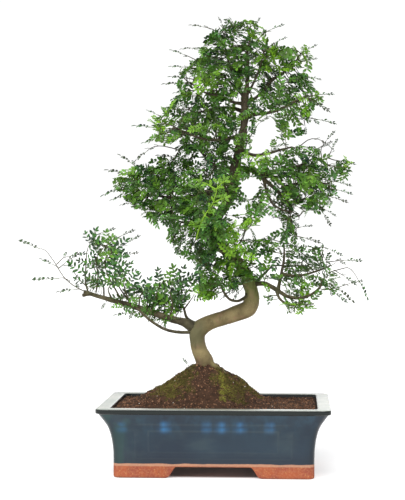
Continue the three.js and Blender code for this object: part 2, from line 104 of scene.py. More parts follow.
def course(listed, spacing):
    """A rounded course through the listed points, with a point at every spacing"""
    ends = np.array(listed, float)
    p = np.vstack([2 * ends[0] - ends[1], ends, 2 * ends[-1] - ends[-2]])
    t = np.linspace(0, 1, 12, endpoint=False)[:, None]
    spans = [
        0.5 * (2 * b + (c - a) * t + (2 * a - 5 * b + 4 * c - d) * t**2 + (3 * b - a - 3 * c + d) * t**3)
        for a, b, c, d in zip(p, p[1:], p[2:], p[3:])
    ]
    dense = np.vstack([*spans, ends[-1]])
    run = np.concatenate([[0], np.cumsum(np.linalg.norm(np.diff(dense[:, :3], axis=0), axis=1))])
    even = np.linspace(0, run[-1], max(2, round(run[-1] / spacing) + 1))
    return np.stack([np.interp(even, run, column) for column in dense.T], axis=1)


def shape(name, points, faces, edges=(), smooth=True, **attributes):
    """An object from points in the row frame, with a value at each point for each attribute"""
    mesh = bpy.data.meshes.new(name)
    mesh.from_pydata([tuple(p) for p in points], edges, faces)
    for key, values in attributes.items():
        flat = np.asarray(values, float)
        kind, field = ("FLOAT_VECTOR", "vector") if flat.ndim == 2 else ("FLOAT", "value")
        mesh.attributes.new(key, kind, "POINT").data.foreach_set(field, flat.ravel())
    mesh.shade_smooth() if smooth else mesh.shade_flat()
    made = bpy.data.objects.new(name, mesh)
    bpy.context.scene.collection.objects.link(made)
    return made


def plain(made, name):
    """The object's modifiers worked into a plain mesh on a new object"""
    graph = bpy.context.evaluated_depsgraph_get()
    mesh = bpy.data.meshes.new_from_object(
        made.evaluated_get(graph), preserve_all_data_layers=True, depsgraph=graph
    )
    bpy.data.objects.remove(made)
    mesh.name = name
    result = bpy.data.objects.new(name, mesh)
    bpy.context.scene.collection.objects.link(result)
    return result


def loft(rings):
    """Faces between rings of points, closed by a face over the first ring and one over the last"""
    count = len(rings[0])
    faces = [
        (k * count + j, k * count + (j + 1) % count, (k + 1) * count + (j + 1) % count, (k + 1) * count + j)
        for k in range(len(rings) - 1)
        for j in range(count)
    ]
    last = (len(rings) - 1) * count
    return [tuple(reversed(range(count))), *faces, tuple(range(last, last + count))]


# Outer and inner run of the wall as (height, how far it stands in from the rim)
underside = [(foot_height, 26), (foot_height, 24.6), (foot_height + 0.4, 23.5)]
flare = course([(17.6, 23), (28, 22.9), (40, 22.5), (57, 20.3), (72, 16), (84, 9), (92.4, 3.2)], 1.25)
lip_wide = 19
lip = [
    (92.6, 1.2), (93.1, 0.4), (94.2, 0), (96, 0), (97.8, 0), (98.8, 0.35), (99.3, 1), (rim_top, 2),
    (rim_top, 5), (rim_top, 10), (rim_top, 15), (99.4, 17.2), (98.9, 18.4), (97.8, 18.9),
]
inside = [(95, lip_wide), (88, 20.2), (75, 23), (60, 26), (40, 29.4), (29, 31), (27, 33)]
wall = [*underside, *[tuple(p) for p in flare], *lip, *inside]

# Frame lines on each side: half length, foot and top of the line, how far it stands out
frames_long = [(112, 26, 79, 0.5), (93, 35, 69, 0.6)]
frames_short = [(70, 26, 79, 0.5), (52, 35, 69, 0.6)]
frame_line = 3.6
wall_top = 90
wall_steps = 43


def frame_relief(across, height, frames):
    """How far the frame lines stand out at a place on the wall"""
    out = 0
    for half, low, high, stands in frames:
        beyond_side = abs(across) - (half - frame_line / 2)
        beyond_end = abs(height - (low + high) / 2) - ((high - low) / 2 - frame_line / 2)
        outside = math.hypot(max(beyond_side, 0), max(beyond_end, 0))
        away = abs(outside + min(max(beyond_side, beyond_end), 0))
        crest = max(0, 1 - away / (frame_line / 2 + 0.7))
        out += stands * crest * crest * (3 - 2 * crest)
    return out


def columns(half, frames):
    """Places along one side: even steps, closer together where a frame line runs down the wall"""
    places = set(np.linspace(-1, 1, wall_steps) * half)
    for frame_half, *_ in frames:
        for side in (-1, 1):
            places |= {side * (frame_half - frame_line / 2 + step) for step in np.linspace(-2, 2, 7)}
    ordered = sorted(p for p in places if abs(p) <= half)
    return [p for p, before in zip(ordered, [-1e9, *ordered]) if p - before > 0.3]


long_columns = columns(rim_long / 2 - 32, frames_long)
short_columns = columns(rim_wide / 2 - 32, frames_short)
arc = np.linspace(0, math.pi / 2, 8)


def pot_ring(height, inset):
    """One level of the pot: its rounded rectangle with the frame lines standing out of it"""
    ring = []
    half_x, half_y = rim_long / 2 - inset, rim_wide / 2 - inset
    sides = [
        ((1, 0), half_x, half_y, long_columns, frames_long),
        ((0, 1), half_y, half_x, short_columns, frames_short),
        ((-1, 0), half_x, half_y, long_columns, frames_long),
        ((0, -1), half_y, half_x, short_columns, frames_short),
    ]
    for (ax, ay), half_along, half_off, places, frames in sides:
        ox, oy = ay, -ax
        free = half_along - corner_radius
        for place in places:
            run = place if abs(place) < 0.8 * places[-1] else place * free / places[-1]
            on_wall = foot_height < height < wall_top and inset > 4
            off = half_off + (frame_relief(run, height, frames) if on_wall else 0)
            ring.append((ax * run + ox * off, ay * run + oy * off, height))
        for turn in arc[1:-1]:
            along = free + corner_radius * math.sin(turn)
            off = half_off - corner_radius * (1 - math.cos(turn))
            ring.append((ax * along + ox * off, ay * along + oy * off, height))
    return ring


pot_rings = [pot_ring(height, inset) for height, inset in wall]
pot_points = np.array([p for ring in pot_rings for p in ring])
tray = shape("tray", placed(pot_points), loft(pot_rings))

# Bracket feet, and the levels of a foot: height, how far its ends are cut back there, how far its faces
# are rounded in
foot_inset = 23
foot_long = 89
foot_short = 66
foot_thick = 26
foot_round = 9
foot_levels = [
    (0, 12, 2.2), (0.5, 11.4, 1.1), (1.6, 10.4, 0.3), (3, 9.4, 0), (6, 7.4, 0), (9, 5.5, 0), (12, 3.6, 0),
    (14.4, 1.7, 0), (16, 0, 0), (19, 0, 0),
]
drain_places = (-78, 78)
drain_radius = 11


def foot(side_x, side_y):
    """One corner foot, an angle of clay under the tray"""
    rings = []
    for height, cut, rounded in foot_levels:
        x = rim_long / 2 - foot_inset - rounded
        y = rim_wide / 2 - foot_inset - rounded
        end_x = x - foot_long + cut + 2 * rounded
        end_y = y - foot_short + cut + 2 * rounded
        back_x = x - foot_thick + 2 * rounded
        back_y = y - foot_thick + 2 * rounded
        corner = [
            (x - foot_round + foot_round * math.sin(turn), y - foot_round + foot_round * math.cos(turn))
            for turn in np.linspace(0, math.pi / 2, 7)
        ]
        ring = [
            (end_x, y - 2), (end_x + 0.6, y - 0.6), (end_x + 2, y), *corner,
            (x, end_y + 2), (x - 0.6, end_y + 0.6), (x - 2, end_y), (back_x, end_y), (back_x, back_y),
            (end_x, back_y),
        ]
        ring = [(side_x * px, side_y * py, height) for px, py in ring]
        rings.append(ring if side_x * side_y < 0 else ring[::-1])
    points = [p for ring in rings for p in ring]
    return shape("foot", placed(points), loft(rings))


def drill(x):
    """A peg the size of one drain hole, through the floor of the tray"""
    turns = np.linspace(0, 2 * math.pi, 24, endpoint=False)
    rings = [
        [(x + drain_radius * math.cos(t), drain_radius * math.sin(t), height) for t in turns]
        for height in (4, 40)
    ]
    return shape("drill", placed([p for ring in rings for p in ring]), loft(rings))


def worked(made, other, operation):
    """The other shape joined to an object or cut out of it"""
    change = made.modifiers.new(operation.lower(), "BOOLEAN")
    change.operation = operation
    change.solver = "EXACT"
    change.object = other
    return other


tools = [worked(tray, foot(sx, sy), "UNION") for sx in (-1, 1) for sy in (-1, 1)]
tools += [worked(tray, drill(x), "DIFFERENCE") for x in drain_places]
pot = plain(tray, "glazed_pot")
for tool in tools:
    bpy.data.objects.remove(tool)
pot.data.materials.clear()

# Where the glaze ran thin over a frame line, where it pooled in drops on the two upper ones, and the painted
# shade that darkens it along the corners. Drops: place along the side and strength.
wall_reach = 24
pot_at = np.array([v.co for v in pot.data.vertices])
local = (pot_at - (pot_middle.x, pot_middle.y, 0)) / MM
front_drops = [(-128, 0.4), (-68, 1), (-9, 0.6), (12, 0.9), (38, 0.8), (80, 0.7)]
back_drops = [(-96, 0.5), (-38, 0.9), (21, 0.6), (70, 0.8), (118, 0.4)]
end_drops = [(-48, 0.6), (5, 0.9), (39, 0.5)]
drop_levels = [(77, 4.5), (69.5, 5.5)]
drop_tall = 4.2
upper_lines_from = 60
lower_lines_show = 0.4
pooled = np.zeros(len(local))
on_long_side = np.abs(local[:, 1]) > rim_wide / 2 - wall_reach
for on_side, places, across in (
    (on_long_side & (local[:, 1] < 0), front_drops, local[:, 0]),
    (on_long_side & (local[:, 1] > 0), back_drops, local[:, 0]),
    (~on_long_side, end_drops, local[:, 1]),
):
    for place, strength in places:
        for level, wide in drop_levels:
            spread = ((across - place) / wide) ** 2 + ((local[:, 2] - level) / drop_tall) ** 2
            pooled = np.maximum(pooled, on_side * strength * np.exp(-spread))
thin = np.array([
    (frame_relief(x, z, frames_long) if long_side else frame_relief(y, z, frames_short))
    * (1 if z > upper_lines_from else lower_lines_show)
    for (x, y, z), long_side in zip(local, on_long_side)
])
inset_here = np.interp(local[:, 2], *zip(*[tuple(p) for p in flare]))
# Painted shade along the vertical corners: strongest at a corner, fading out a band's width away
to_corner = np.maximum(
    rim_long / 2 - inset_here - np.abs(local[:, 0]), rim_wide / 2 - inset_here - np.abs(local[:, 1])
)
corner_band = 8
thick = np.exp(-((to_corner / corner_band) ** 2))
for key, values in (("pooled", pooled), ("thin", thin), ("thick", thick)):
    pot.data.attributes.new(key, "FLOAT", "POINT").data.foreach_set("value", values)


class Wire:
    """One value in a node tree. Maths on it adds Math nodes, and add() makes any other node."""

    def __init__(self, tree, socket=None):
        self.tree = tree
        self.socket = socket

    def add(self, kind, settings=None, sockets=None, output=0):
        node = self.tree.nodes.new(kind)
        for name, value in (settings or {}).items():
            if name == "stops":
                ramp = node.color_ramp.elements
                for i, (place, colour) in enumerate(value):
                    stop = ramp[i] if i < 2 else ramp.new(place)
                    stop.position = place
                    stop.color = (*colour, 1)
            else:
                setattr(node, name, value)
        for name, value in (sockets or {}).items():
            self.feed(node, name, value)
        return Wire(self.tree, node.outputs[output])

    def feed(self, node, name, value):
        if isinstance(value, Wire):
            self.tree.links.new(value.socket, node.inputs[name])
        else:
            node.inputs[name].default_value = value

    def maths(self, operation, *values):
        return self.add("ShaderNodeMath", {"operation": operation}, dict(enumerate(values)))

    def __add__(self, other):
        return self.maths("ADD", self, other)

    def __sub__(self, other):
        return self.maths("SUBTRACT", self, other)

    def __rsub__(self, other):
        return self.maths("SUBTRACT", other, self)

    def __mul__(self, other):
        return self.maths("MULTIPLY", self, other)

    def __truediv__(self, other):
        return self.maths("DIVIDE", self, other)

    def between(self, low, high):
        """Rises from 0 to 1 as the value goes from low to high"""
        return self.add(
            "ShaderNodeMapRange",
            {"interpolation_type": "SMOOTHSTEP"},
            {"Value": self, "From Min": low, "From Max": high},
        )

    def mix(self, first, second):
        """The first colour where the value is 0, the second where it is 1"""
        first, second = [c if isinstance(c, Wire) else (*c, 1) for c in (first, second)]
        return self.add(
            "ShaderNodeMix", {"data_type": "RGBA"}, {0: self, 6: first, 7: second}, output=2
        )

    def own(self, name):
        """The piece's own value of that name at each point"""
        return self.add("ShaderNodeAttribute", {"attribute_name": name}, output="Fac")

    def place(self, axis=None):
        """Where a point lies on the object, or how far along one axis"""
        at = self.add("ShaderNodeTexCoord", output="Object")
        return at if axis is None else self.add("ShaderNodeSeparateXYZ", {}, {0: at}, output=axis)

    def cloud(self, size, detail=3, stretch=(1, 1, 1)):
        """Soft random pattern whose features are about that many millimetres wide"""
        at = self.add("ShaderNodeMapping", {}, {"Vector": self.place(), "Scale": [1 / s for s in stretch]})
        return self.add(
            "ShaderNodeTexNoise",
            {},
            {"Vector": at, "Scale": 0.5 / (size * MM), "Detail": detail, "Roughness": 0.55},
        )

    def cells(self, size):
        """How far a place is from the middle of its cell, in random cells that many millimetres wide"""
        return self.add(
            "ShaderNodeTexVoronoi", {}, {"Vector": self.place(), "Scale": 1 / (size * MM)}, output="Distance"
        )

    def bump(self, height, depth, strength=1.0):
        """Relief of that many millimetres from a height between 0 and 1"""
        relief = {"Height": height, "Distance": depth * MM, "Strength": strength}
        return self.add("ShaderNodeBump", {}, relief, output="Normal")


def finish(name):
    """A new material: the material, its shader and the start of a wire in its tree"""
    material = bpy.data.materials.new(name)
    material.use_nodes = True
    return material, material.node_tree.nodes["Principled BSDF"], Wire(material.node_tree)


def dress(made, material):
    made.data.materials.clear()
    made.data.materials.append(material)


glaze, shader, wire = finish("blue_glaze_on_red_clay")
height = wire.place("Z") / MM
broad = wire.cloud(46, 2)
runs = wire.cloud(7, 3, stretch=(1, 1, 5))
sweeps = wire.cloud(16, 3, stretch=(2.4, 2.4, 1))
speck = wire.cloud(1.6, 2)
blue = broad.between(0.3, 0.72).mix((0.010, 0.020, 0.036), (0.016, 0.035, 0.055))
blue = (height.between(48, 84) * runs.between(0.4, 0.75) * 0.6).mix(blue, (0.022, 0.066, 0.104))
blue = (sweeps.between(0.5, 0.74) * 0.5).mix(blue, (0.040, 0.064, 0.072))
blue = ((1 - height.between(20, 46)) * 0.7).mix(blue, (0.012, 0.018, 0.030))
green_end = wire.place("X").between(pot_middle.x - 0.09, pot_middle.x - 0.15)
blue = (green_end * runs.between(0.35, 0.62) * 0.7).mix(blue, (0.024, 0.066, 0.056))
# Painted shade darkens the glaze along the vertical corners
blue = (wire.own("thick") * 0.7).mix(blue, (0.005, 0.009, 0.013))
blue = (wire.own("pooled") * runs.between(0.15, 0.5)).mix(blue, (0.030, 0.150, 0.330))
blue = (wire.own("thin") * 0.22).mix(blue, (0.110, 0.140, 0.130))
# Darker in a band just under the lip
blue = height.between(90.5, 92.5).mix(blue, (0.006, 0.010, 0.009))
# The lip's top: pale where the glaze runs thin, and paler still as a painted reflection of the bright studio
# above
pale = (sweeps + runs * 0.4).between(0.4, 0.9).mix((0.430, 0.430, 0.360), (0.270, 0.310, 0.260))
blue = (height + sweeps * 0.7).between(99.1, 99.6).mix(blue, pale)
edge = height + (wire.cloud(14, 2) - 0.5) * 3.2
glazed = edge.between(20.2, 21.2)
grit = wire.cells(3.4)
clay = wire.cloud(11, 3).between(0.36, 0.64).mix((0.350, 0.088, 0.036), (0.270, 0.066, 0.038))
clay = (speck.between(0.42, 0.66) * 0.5).mix(clay, (0.430, 0.165, 0.080))
clay = (wire.cloud(4.5, 3).between(0.56, 0.7) * 0.6).mix(clay, (0.250, 0.075, 0.040))
clay = ((1 - grit.between(0.10, 0.26)) * 0.7).mix(clay, (0.520, 0.270, 0.090))
clay = (height.between(16.2, 18) * 0.45).mix(clay, (0.540, 0.360, 0.240))
clay = ((1 - height.between(0.2, 2.4)) * 0.6).mix(clay, (0.140, 0.070, 0.045))
wire.feed(shader, "Base Color", glazed.mix(clay, blue))
wire.feed(shader, "Roughness", 0.8 - glazed * (0.64 - sweeps * 0.12))
wire.feed(shader, "Coat Weight", glazed * 0.2)
shader.inputs["Coat Roughness"].default_value = 0.05
shader.inputs["Specular IOR Level"].default_value = 0.28
relief = glazed * (broad * 0.6 + runs * 0.25) + (1 - glazed) * speck * 0.6
wire.feed(shader, "Normal", wire.bump(relief, 0.6, 0.5))
dress(pot, glaze)
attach(pot, "root")
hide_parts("pot")

# DRAIN NETTING
# Square of black plastic netting over each drain hole, cut from a moulded roll and held down by the
# soil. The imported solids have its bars, so they stay and only get their finish.
netting, shader, wire = finish("moulded_netting")
dust = wire.cloud(4, 3)
wire.feed(shader, "Base Color", dust.between(0.35, 0.75).mix((0.012, 0.014, 0.013), (0.060, 0.050, 0.038)))
wire.feed(shader, "Roughness", dust * 0.3 + 0.4)
wire.feed(shader, "Normal", wire.bump(wire.cloud(0.8, 2), 0.05, 0.5))
for name in ("drain_net_1", "drain_net_2"):
    dress(frame["nodes"][name], netting)

# SOIL
# Baked red-brown clay grains mixed with peat, heaped round the root stub and pressed level toward the
# walls. A closed bed fills the pot, and loose grains lie all over it.
soil_level = 95
mound_middle = (-17, 0)
mound_profile = [
    (0, 157), (14, 153.5), (30, 144), (46, 134), (62, 122), (80, 107), (102, 97), (124, soil_level),
]
mound_squash = 0.86
bed_gap = 0.35
bed_step = 1.7


def ripple(x, y, size, seed=0.0):
    """Smooth random height from -1 to 1 over the ground, in bumps of about that size"""
    return noise.noise(Vector((x / size + seed, y / size, seed)))


def ground(x, y):
    """Height of the soil before its grain: a heap that spreads wider to the left, ridged and lumpy"""
    dx, dy = x - mound_middle[0], (y - mound_middle[1]) / mound_squash
    turn = math.atan2(dy, dx)
    ridge = 1 + 0.10 * noise.noise(Vector((2.2 * math.cos(turn), 2.2 * math.sin(turn), 4.0)))
    away = math.hypot(dx, dy) * ridge
    places, heights = zip(*mound_profile)
    height = float(np.interp(away, places, heights))
    height += 7 * max(0, -math.cos(turn)) * math.exp(-(((away - 90) / 24) ** 2))
    slope = min(1, (height - soil_level) / 30)
    fibre = (1 - abs(noise.noise(Vector((5 * math.cos(turn), 5 * math.sin(turn), away / 24))))) ** 5
    lumps = 4 * ripple(x, y, 15, 2) + 1.8 * ripple(x, y, 7, 6) + 2.2 * fibre - 1
    return height + slope * lumps + 1.1 * ripple(x, y, 26, 5)


half_x = rim_long / 2 - lip_wide - bed_gap
half_y = rim_wide / 2 - lip_wide - bed_gap
across_x = np.linspace(-half_x, half_x, round(2 * half_x / bed_step) + 1)
across_y = np.linspace(-half_y, half_y, round(2 * half_y / bed_step) + 1)
bed_points = []
for y in across_y:
    for x in across_x:
        over_x, over_y = abs(x) - half_x + corner_radius, abs(y) - half_y + corner_radius
        reach = math.hypot(over_x, over_y)
        if over_x > 0 and over_y > 0 and reach > corner_radius:
            x = math.copysign(half_x - corner_radius + over_x * corner_radius / reach, x)
            y_here = math.copysign(half_y - corner_radius + over_y * corner_radius / reach, y)
        else:
            y_here = y
        grain = 1.1 * ripple(x, y_here, 4.6) + 0.7 * ripple(x, y_here, 2.3, 9)
        near_wall = min(half_x - abs(x), half_y - abs(y_here))
        level = ground(x, y_here) - 1.2 * max(0, 1 - near_wall / 6)
        bed_points.append((x, y_here, level + grain))
nx, ny = len(across_x), len(across_y)
bed_faces = [
    (j * nx + i, j * nx + i + 1, (j + 1) * nx + i + 1, (j + 1) * nx + i)
    for j in range(ny - 1)
    for i in range(nx - 1)
]
border = [
    *range(nx), *range(2 * nx - 1, ny * nx, nx), *range(ny * nx - 2, (ny - 1) * nx - 1, -1),
    *range((ny - 2) * nx, 0, -nx),
]
ring = border
# Below its top the bed follows the inside of the walls down to the floor
for height, inset in ((75, 23), (60, 26), (27.6, 31.5)):
    fit_x = (rim_long / 2 - inset - bed_gap) / half_x
    fit_y = (rim_wide / 2 - inset - bed_gap) / half_y
    lower = list(range(len(bed_points), len(bed_points) + len(border)))
    bed_points += [(bed_points[i][0] * fit_x, bed_points[i][1] * fit_y, height) for i in border]
    count = len(border)
    bed_faces += [(ring[k], lower[k], lower[(k + 1) % count], ring[(k + 1) % count]) for k in range(count)]
    ring = lower
bed_faces.append(tuple(reversed(ring)))

# Patches where moss has taken hold, and the young bright ones among them: middle, reach and strength
moss_patches = [
    (-66, -34, 20, 1), (-46, -30, 17, 1), (-58, -50, 14, 0.8), (-36, -52, 13, 0.6), (2, -34, 13, 0.9),
    (14, -26, 15, 1), (24, -46, 15, 1), (34, -34, 13, 0.9), (6, -14, 11, 0.8), (-52, 30, 18, 0.8),
    (10, 40, 20, 0.9), (-22, 52, 14, 0.8), (40, 8, 16, 0.8), (-82, 4, 15, 0.8), (-38, -12, 11, 0.7),
    (58, -14, 12, 0.7), (-86, -40, 12, 0.6), (-76, -20, 14, 0.9), (-50, -14, 13, 0.9),
    (44, -14, 13, 0.8), (38, -54, 11, 0.7), (-92, -24, 11, 0.6),
]
bright_moss = [
    (6, -22, 5, 0.7), (9, -33, 5, 1), (10, -43, 5, 1), (11, -52, 5.5, 1), (12, -62, 6, 0.9),
    (16, -44, 8, 0.6), (-58, -40, 12, 0.35), (-24, 40, 12, 0.5),
]


def spread_over(x, y, patches):
    """The strength of the patch that reaches a place most"""
    return max(
        strength * math.exp(-(((x - middle_x) / reach) ** 2 + ((y - middle_y) / reach) ** 2))
        for middle_x, middle_y, reach, strength in patches
    )


def mossy(x, y):
    """How thick the moss stands at a place on the soil, from 0 to 1"""
    near = max(spread_over(x, y, moss_patches), spread_over(x, y, bright_moss))
    return min(1, max(0, 2 * near + 0.9 * ripple(x, y, 7, 3) - 0.6))


on_top = len(across_x) * len(across_y)
bare = [
    1.0 if i < on_top and abs(x) < half_x - 2 and abs(y) < half_y - 2 else 0.0
    for i, (x, y, z) in enumerate(bed_points)
]
moss_here = [mossy(x, y) * here for (x, y, z), here in zip(bed_points, bare)]
bright_here = [spread_over(x, y, bright_moss) for x, y, z in bed_points]
soil_bed = shape("soil_bed", placed(bed_points), bed_faces, bare=bare, moss=moss_here)


def kinds_of(name, meshes):
    """A collection, kept out of the scene, of the small shapes that a tree of nodes picks from"""
    kinds = bpy.data.collections.new(name)
    for i, (points, faces, values) in enumerate(meshes):
        one = shape(f"{name}_{i}", points, faces, smooth=False, **values)
        bpy.context.scene.collection.objects.unlink(one)
        kinds.objects.link(one)
    return kinds


def new_tree(name, inputs):
    """A geometry node tree with named inputs: the tree, the start of a wire and its inputs by name"""
    tree = bpy.data.node_groups.new(name, "GeometryNodeTree")
    tree.interface.new_socket(name="Geometry", in_out="INPUT", socket_type="NodeSocketGeometry")
    for label, kind in inputs.items():
        tree.interface.new_socket(name=label, in_out="INPUT", socket_type="NodeSocket" + kind)
    tree.interface.new_socket(name="Geometry", in_out="OUTPUT", socket_type="NodeSocketGeometry")
    entry = tree.nodes.new("NodeGroupInput")
    given = {label: Wire(tree, entry.outputs[label]) for label in ("Geometry", *inputs)}
    return tree, Wire(tree), given


def close_tree(wire, geometry, material):
    """Real faces and their material at the end of a tree"""
    real = wire.add("GeometryNodeRealizeInstances", {}, {"Geometry": geometry})
    painted = wire.add("GeometryNodeSetMaterial", {}, {"Geometry": real, "Material": material})
    out = wire.tree.nodes.new("NodeGroupOutput")
    wire.feed(out, "Geometry", painted)


def grown(made, tree, name, **values):
    """The plain mesh that a tree makes of an object, with the tree's inputs given by name"""
    change = made.modifiers.new(tree.name, "NODES")
    change.node_group = tree
    for item in tree.interface.items_tree:
        if item.item_type == "SOCKET" and item.in_out == "INPUT" and item.name in values:
            change[item.identifier] = values[item.name]
    return plain(made, name)


def named(wire, name, kind="FLOAT"):
    """The value of that name at each point of the shape that enters a tree"""
    return wire.add("GeometryNodeInputNamedAttribute", {"data_type": kind}, {"Name": name})


def scatter_tree(name, upright):
    """Small shapes strewn over a surface where its value called Where is high"""
    tree, wire, given = new_tree(name, {
        "Kinds": "Collection", "Where": "String", "Density": "Float", "Spacing": "Float",
        "Smallest": "Float", "Largest": "Float", "Seed": "Int", "Material": "Material",
    })
    spots = wire.add(
        "GeometryNodeDistributePointsOnFaces",
        {"distribute_method": "POISSON"},
        {
            "Mesh": given["Geometry"], "Distance Min": given["Spacing"], "Density Max": given["Density"],
            "Density Factor": named(wire, given["Where"]), "Seed": given["Seed"],
        },
    )
    lie = Wire(tree, spots.socket.node.outputs["Rotation"])
    least_turn, most_turn = ((-0.35, -0.35, 0), (0.35, 0.35, 6.28)) if upright else ((0, 0, 0), (6.28,) * 3)
    spin = wire.add("FunctionNodeRandomValue", {"data_type": "FLOAT_VECTOR"}, {0: least_turn, 1: most_turn})
    turn = wire.add("FunctionNodeRotateRotation", {"rotation_space": "LOCAL"}, {0: lie, 1: spin})
    sizes = {2: given["Smallest"], 3: given["Largest"]}
    size = wire.add("FunctionNodeRandomValue", {"data_type": "FLOAT"}, sizes, output=1)
    strewn = wire.add("GeometryNodeInstanceOnPoints", {}, {
        "Points": spots,
        "Instance": wire.add(
            "GeometryNodeCollectionInfo", {}, {"Collection": given["Kinds"], "Separate Children": True}
        ),
        "Pick Instance": True, "Rotation": turn, "Scale": size,
    })
    tints = {2: 0.0, 3: 1.0, "Seed": 5}
    tint = wire.add("FunctionNodeRandomValue", {"data_type": "FLOAT"}, tints, output=1)
    marked = wire.add(
        "GeometryNodeStoreNamedAttribute",
        {"data_type": "FLOAT", "domain": "INSTANCE"},
        {"Geometry": strewn, "Name": "tint", "Value": tint},
    )
    close_tree(wire, marked, given["Material"])
    return tree


def crumb(seed):
    """A broken grain about 1 mm across: a squashed ball of few faces with its corners pushed about"""
    draw = random.Random(seed)
    ratio = (1 + math.sqrt(5)) / 2
    corners = [
        p for s in (-1, 1) for t in (-ratio, ratio) for p in ((0, s, t), (s, t, 0), (t, 0, s))
    ]
    squash = [draw.uniform(0.75, 1.05) for _ in range(3)]
    points = [
        Vector(c).normalized() * 0.5 * MM * draw.uniform(0.78, 1.12) for c in corners
    ]
    points = [Vector(a * b for a, b in zip(p, squash)) for p in points]
    faces = []
    for i in range(12):
        for j in range(i + 1, 12):
            for k in range(j + 1, 12):
                a, b, c = (Vector(corners[n]) for n in (i, j, k))
                if max((a - b).length, (b - c).length, (c - a).length) < 2.1:
                    outward = (b - a).cross(c - a).dot(a + b + c) > 0
                    faces.append((i, j, k) if outward else (i, k, j))
    return points, faces, {}


earth, shader, wire = finish("baked_clay_grains")
tint = wire.own("tint")
mottle = wire.cloud(5, 4)
fine = wire.cloud(1.4, 3)
brown = wire.add("ShaderNodeValToRGB", {"stops": [
    (0.05, (0.022, 0.013, 0.008)), (1, (0.460, 0.260, 0.150)), (0.35, (0.092, 0.046, 0.027)),
    (0.62, (0.190, 0.090, 0.050)), (0.86, (0.300, 0.160, 0.090)),
]}, {0: tint * 0.75 + mottle * 0.6 - 0.16})
brown = (fine.between(0.35, 0.7) * 0.4).mix(brown, (0.045, 0.024, 0.015))
brown = (wire.own("moss") * 0.8).mix(brown, (0.080, 0.070, 0.020))
brown = tint.between(0.993, 0.995).mix(brown, (0.72, 0.68, 0.58))
wire.feed(shader, "Base Color", brown)
wire.feed(shader, "Roughness", fine * 0.2 + 0.8)
shader.inputs["Specular IOR Level"].default_value = 0.15
wire.feed(shader, "Normal", wire.bump(fine, 0.35, 0.8))
dress(soil_bed, earth)

grain_kinds = kinds_of("grain", [crumb(seed) for seed in range(5)])
grains = grown(
    shape("grain_ground", placed(bed_points), bed_faces, bare=bare),
    scatter_tree("strewn_grains", upright=False),
    "soil_grains",
    Kinds=grain_kinds,
    Where="bare", Density=110000.0, Spacing=2.3 * MM, Smallest=1.3, Largest=3.4, Seed=3, Material=earth,
)
for piece in (soil_bed, grains):
    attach(piece, "root")
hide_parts("soil")

# MOSS
# Cushion moss that has crept over the mound: tufts of short upright blades, olive in the shade and
# yellow-green where they are young.
moss, shader, wire = finish("cushion_moss")
young = wire.own("tint") * 0.4 + wire.cloud(7, 2) * 0.3 + wire.own("bright") * 0.6
wire.feed(shader, "Base Color", wire.add("ShaderNodeValToRGB", {"stops": [
    (0.1, (0.040, 0.034, 0.010)), (0.95, (0.360, 0.370, 0.060)), (0.42, (0.125, 0.105, 0.028)),
    (0.6, (0.200, 0.180, 0.042)),
]}, {0: young}))
wire.feed(shader, "Roughness", wire.cloud(2, 2) * 0.3 + 0.7)
shader.inputs["Specular IOR Level"].default_value = 0.2
wire.feed(shader, "Normal", wire.bump(wire.cloud(0.6, 2), 0.1, 0.5))


def tuft(seed):
    """A tuft about 1 mm high: six narrow three-sided blades leaning outward"""
    draw = random.Random(seed)
    points, faces = [], []
    for i in range(6):
        turn = i * 1.05 + draw.uniform(-0.3, 0.3)
        lean = draw.uniform(0.1, 0.75)
        tall = draw.uniform(0.6, 1.0)
        foot_at = Vector((math.cos(turn), math.sin(turn), 0)) * 0.22
        tip = foot_at + Vector((math.cos(turn) * lean, math.sin(turn) * lean, tall))
        first = len(points)
        for corner in range(3):
            swing = turn + corner * 2.1
            points.append((foot_at + Vector((math.cos(swing), math.sin(swing), -0.4)) * 0.2) * MM)
        points.append(tip * MM)
        faces += [(first + a, first + b, first + 3) for a, b in ((0, 1), (1, 2), (2, 0))]
        faces.append((first, first + 2, first + 1))
    return points, faces, {}


tuft_kinds = kinds_of("tuft", [tuft(seed) for seed in range(4)])
moss_tufts = grown(
    shape("moss_ground", placed(bed_points), bed_faces, moss=moss_here, bright=bright_here),
    scatter_tree("moss_tufts", upright=True),
    "moss",
    Kinds=tuft_kinds,
    Where="moss", Density=420000.0, Spacing=1.5 * MM, Smallest=1.3, Largest=3.2, Seed=11, Material=moss,
)
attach(moss_tufts, "root")

# WOOD
# The grown tree: root stub and surface roots, the S-bent trunk, its limbs wired out to the sides, and
# the twigs that creep from them into every mass of foliage. Bark is tan at the foot, olive where algae
# sits on the bend and brown above, where painted shade of the crown darkens it further; the youngest
# twigs are still green.
#
# Its limbs are placed by what the camera sees: how far across and down its picture of 405 by 500, and
# how deep behind the middle of the pot. The camera stands level with the lower half of the crown, a
# little to the right.
eye = Vector((113, -2245.5, 348.5))
turned_left = math.radians(3.41)
tipped_down = math.radians(0.71)
focal = 1535
picture_wide, picture_tall = 405, 500
to_right = Vector((math.cos(turned_left), math.sin(turned_left), 0))
looking = Vector((
    -math.sin(turned_left) * math.cos(tipped_down), math.cos(turned_left) * math.cos(tipped_down),
    -math.sin(tipped_down),
))


def seen(across, down, depth):
    """The place, in millimetres from the pot's middle, that the camera sees there at that depth"""
    ray = looking + to_right * ((across - picture_wide / 2) / focal)
    ray += to_right.cross(looking) * ((picture_tall / 2 - down) / focal)
    return eye + ray * ((depth - eye.y) / ray.y)


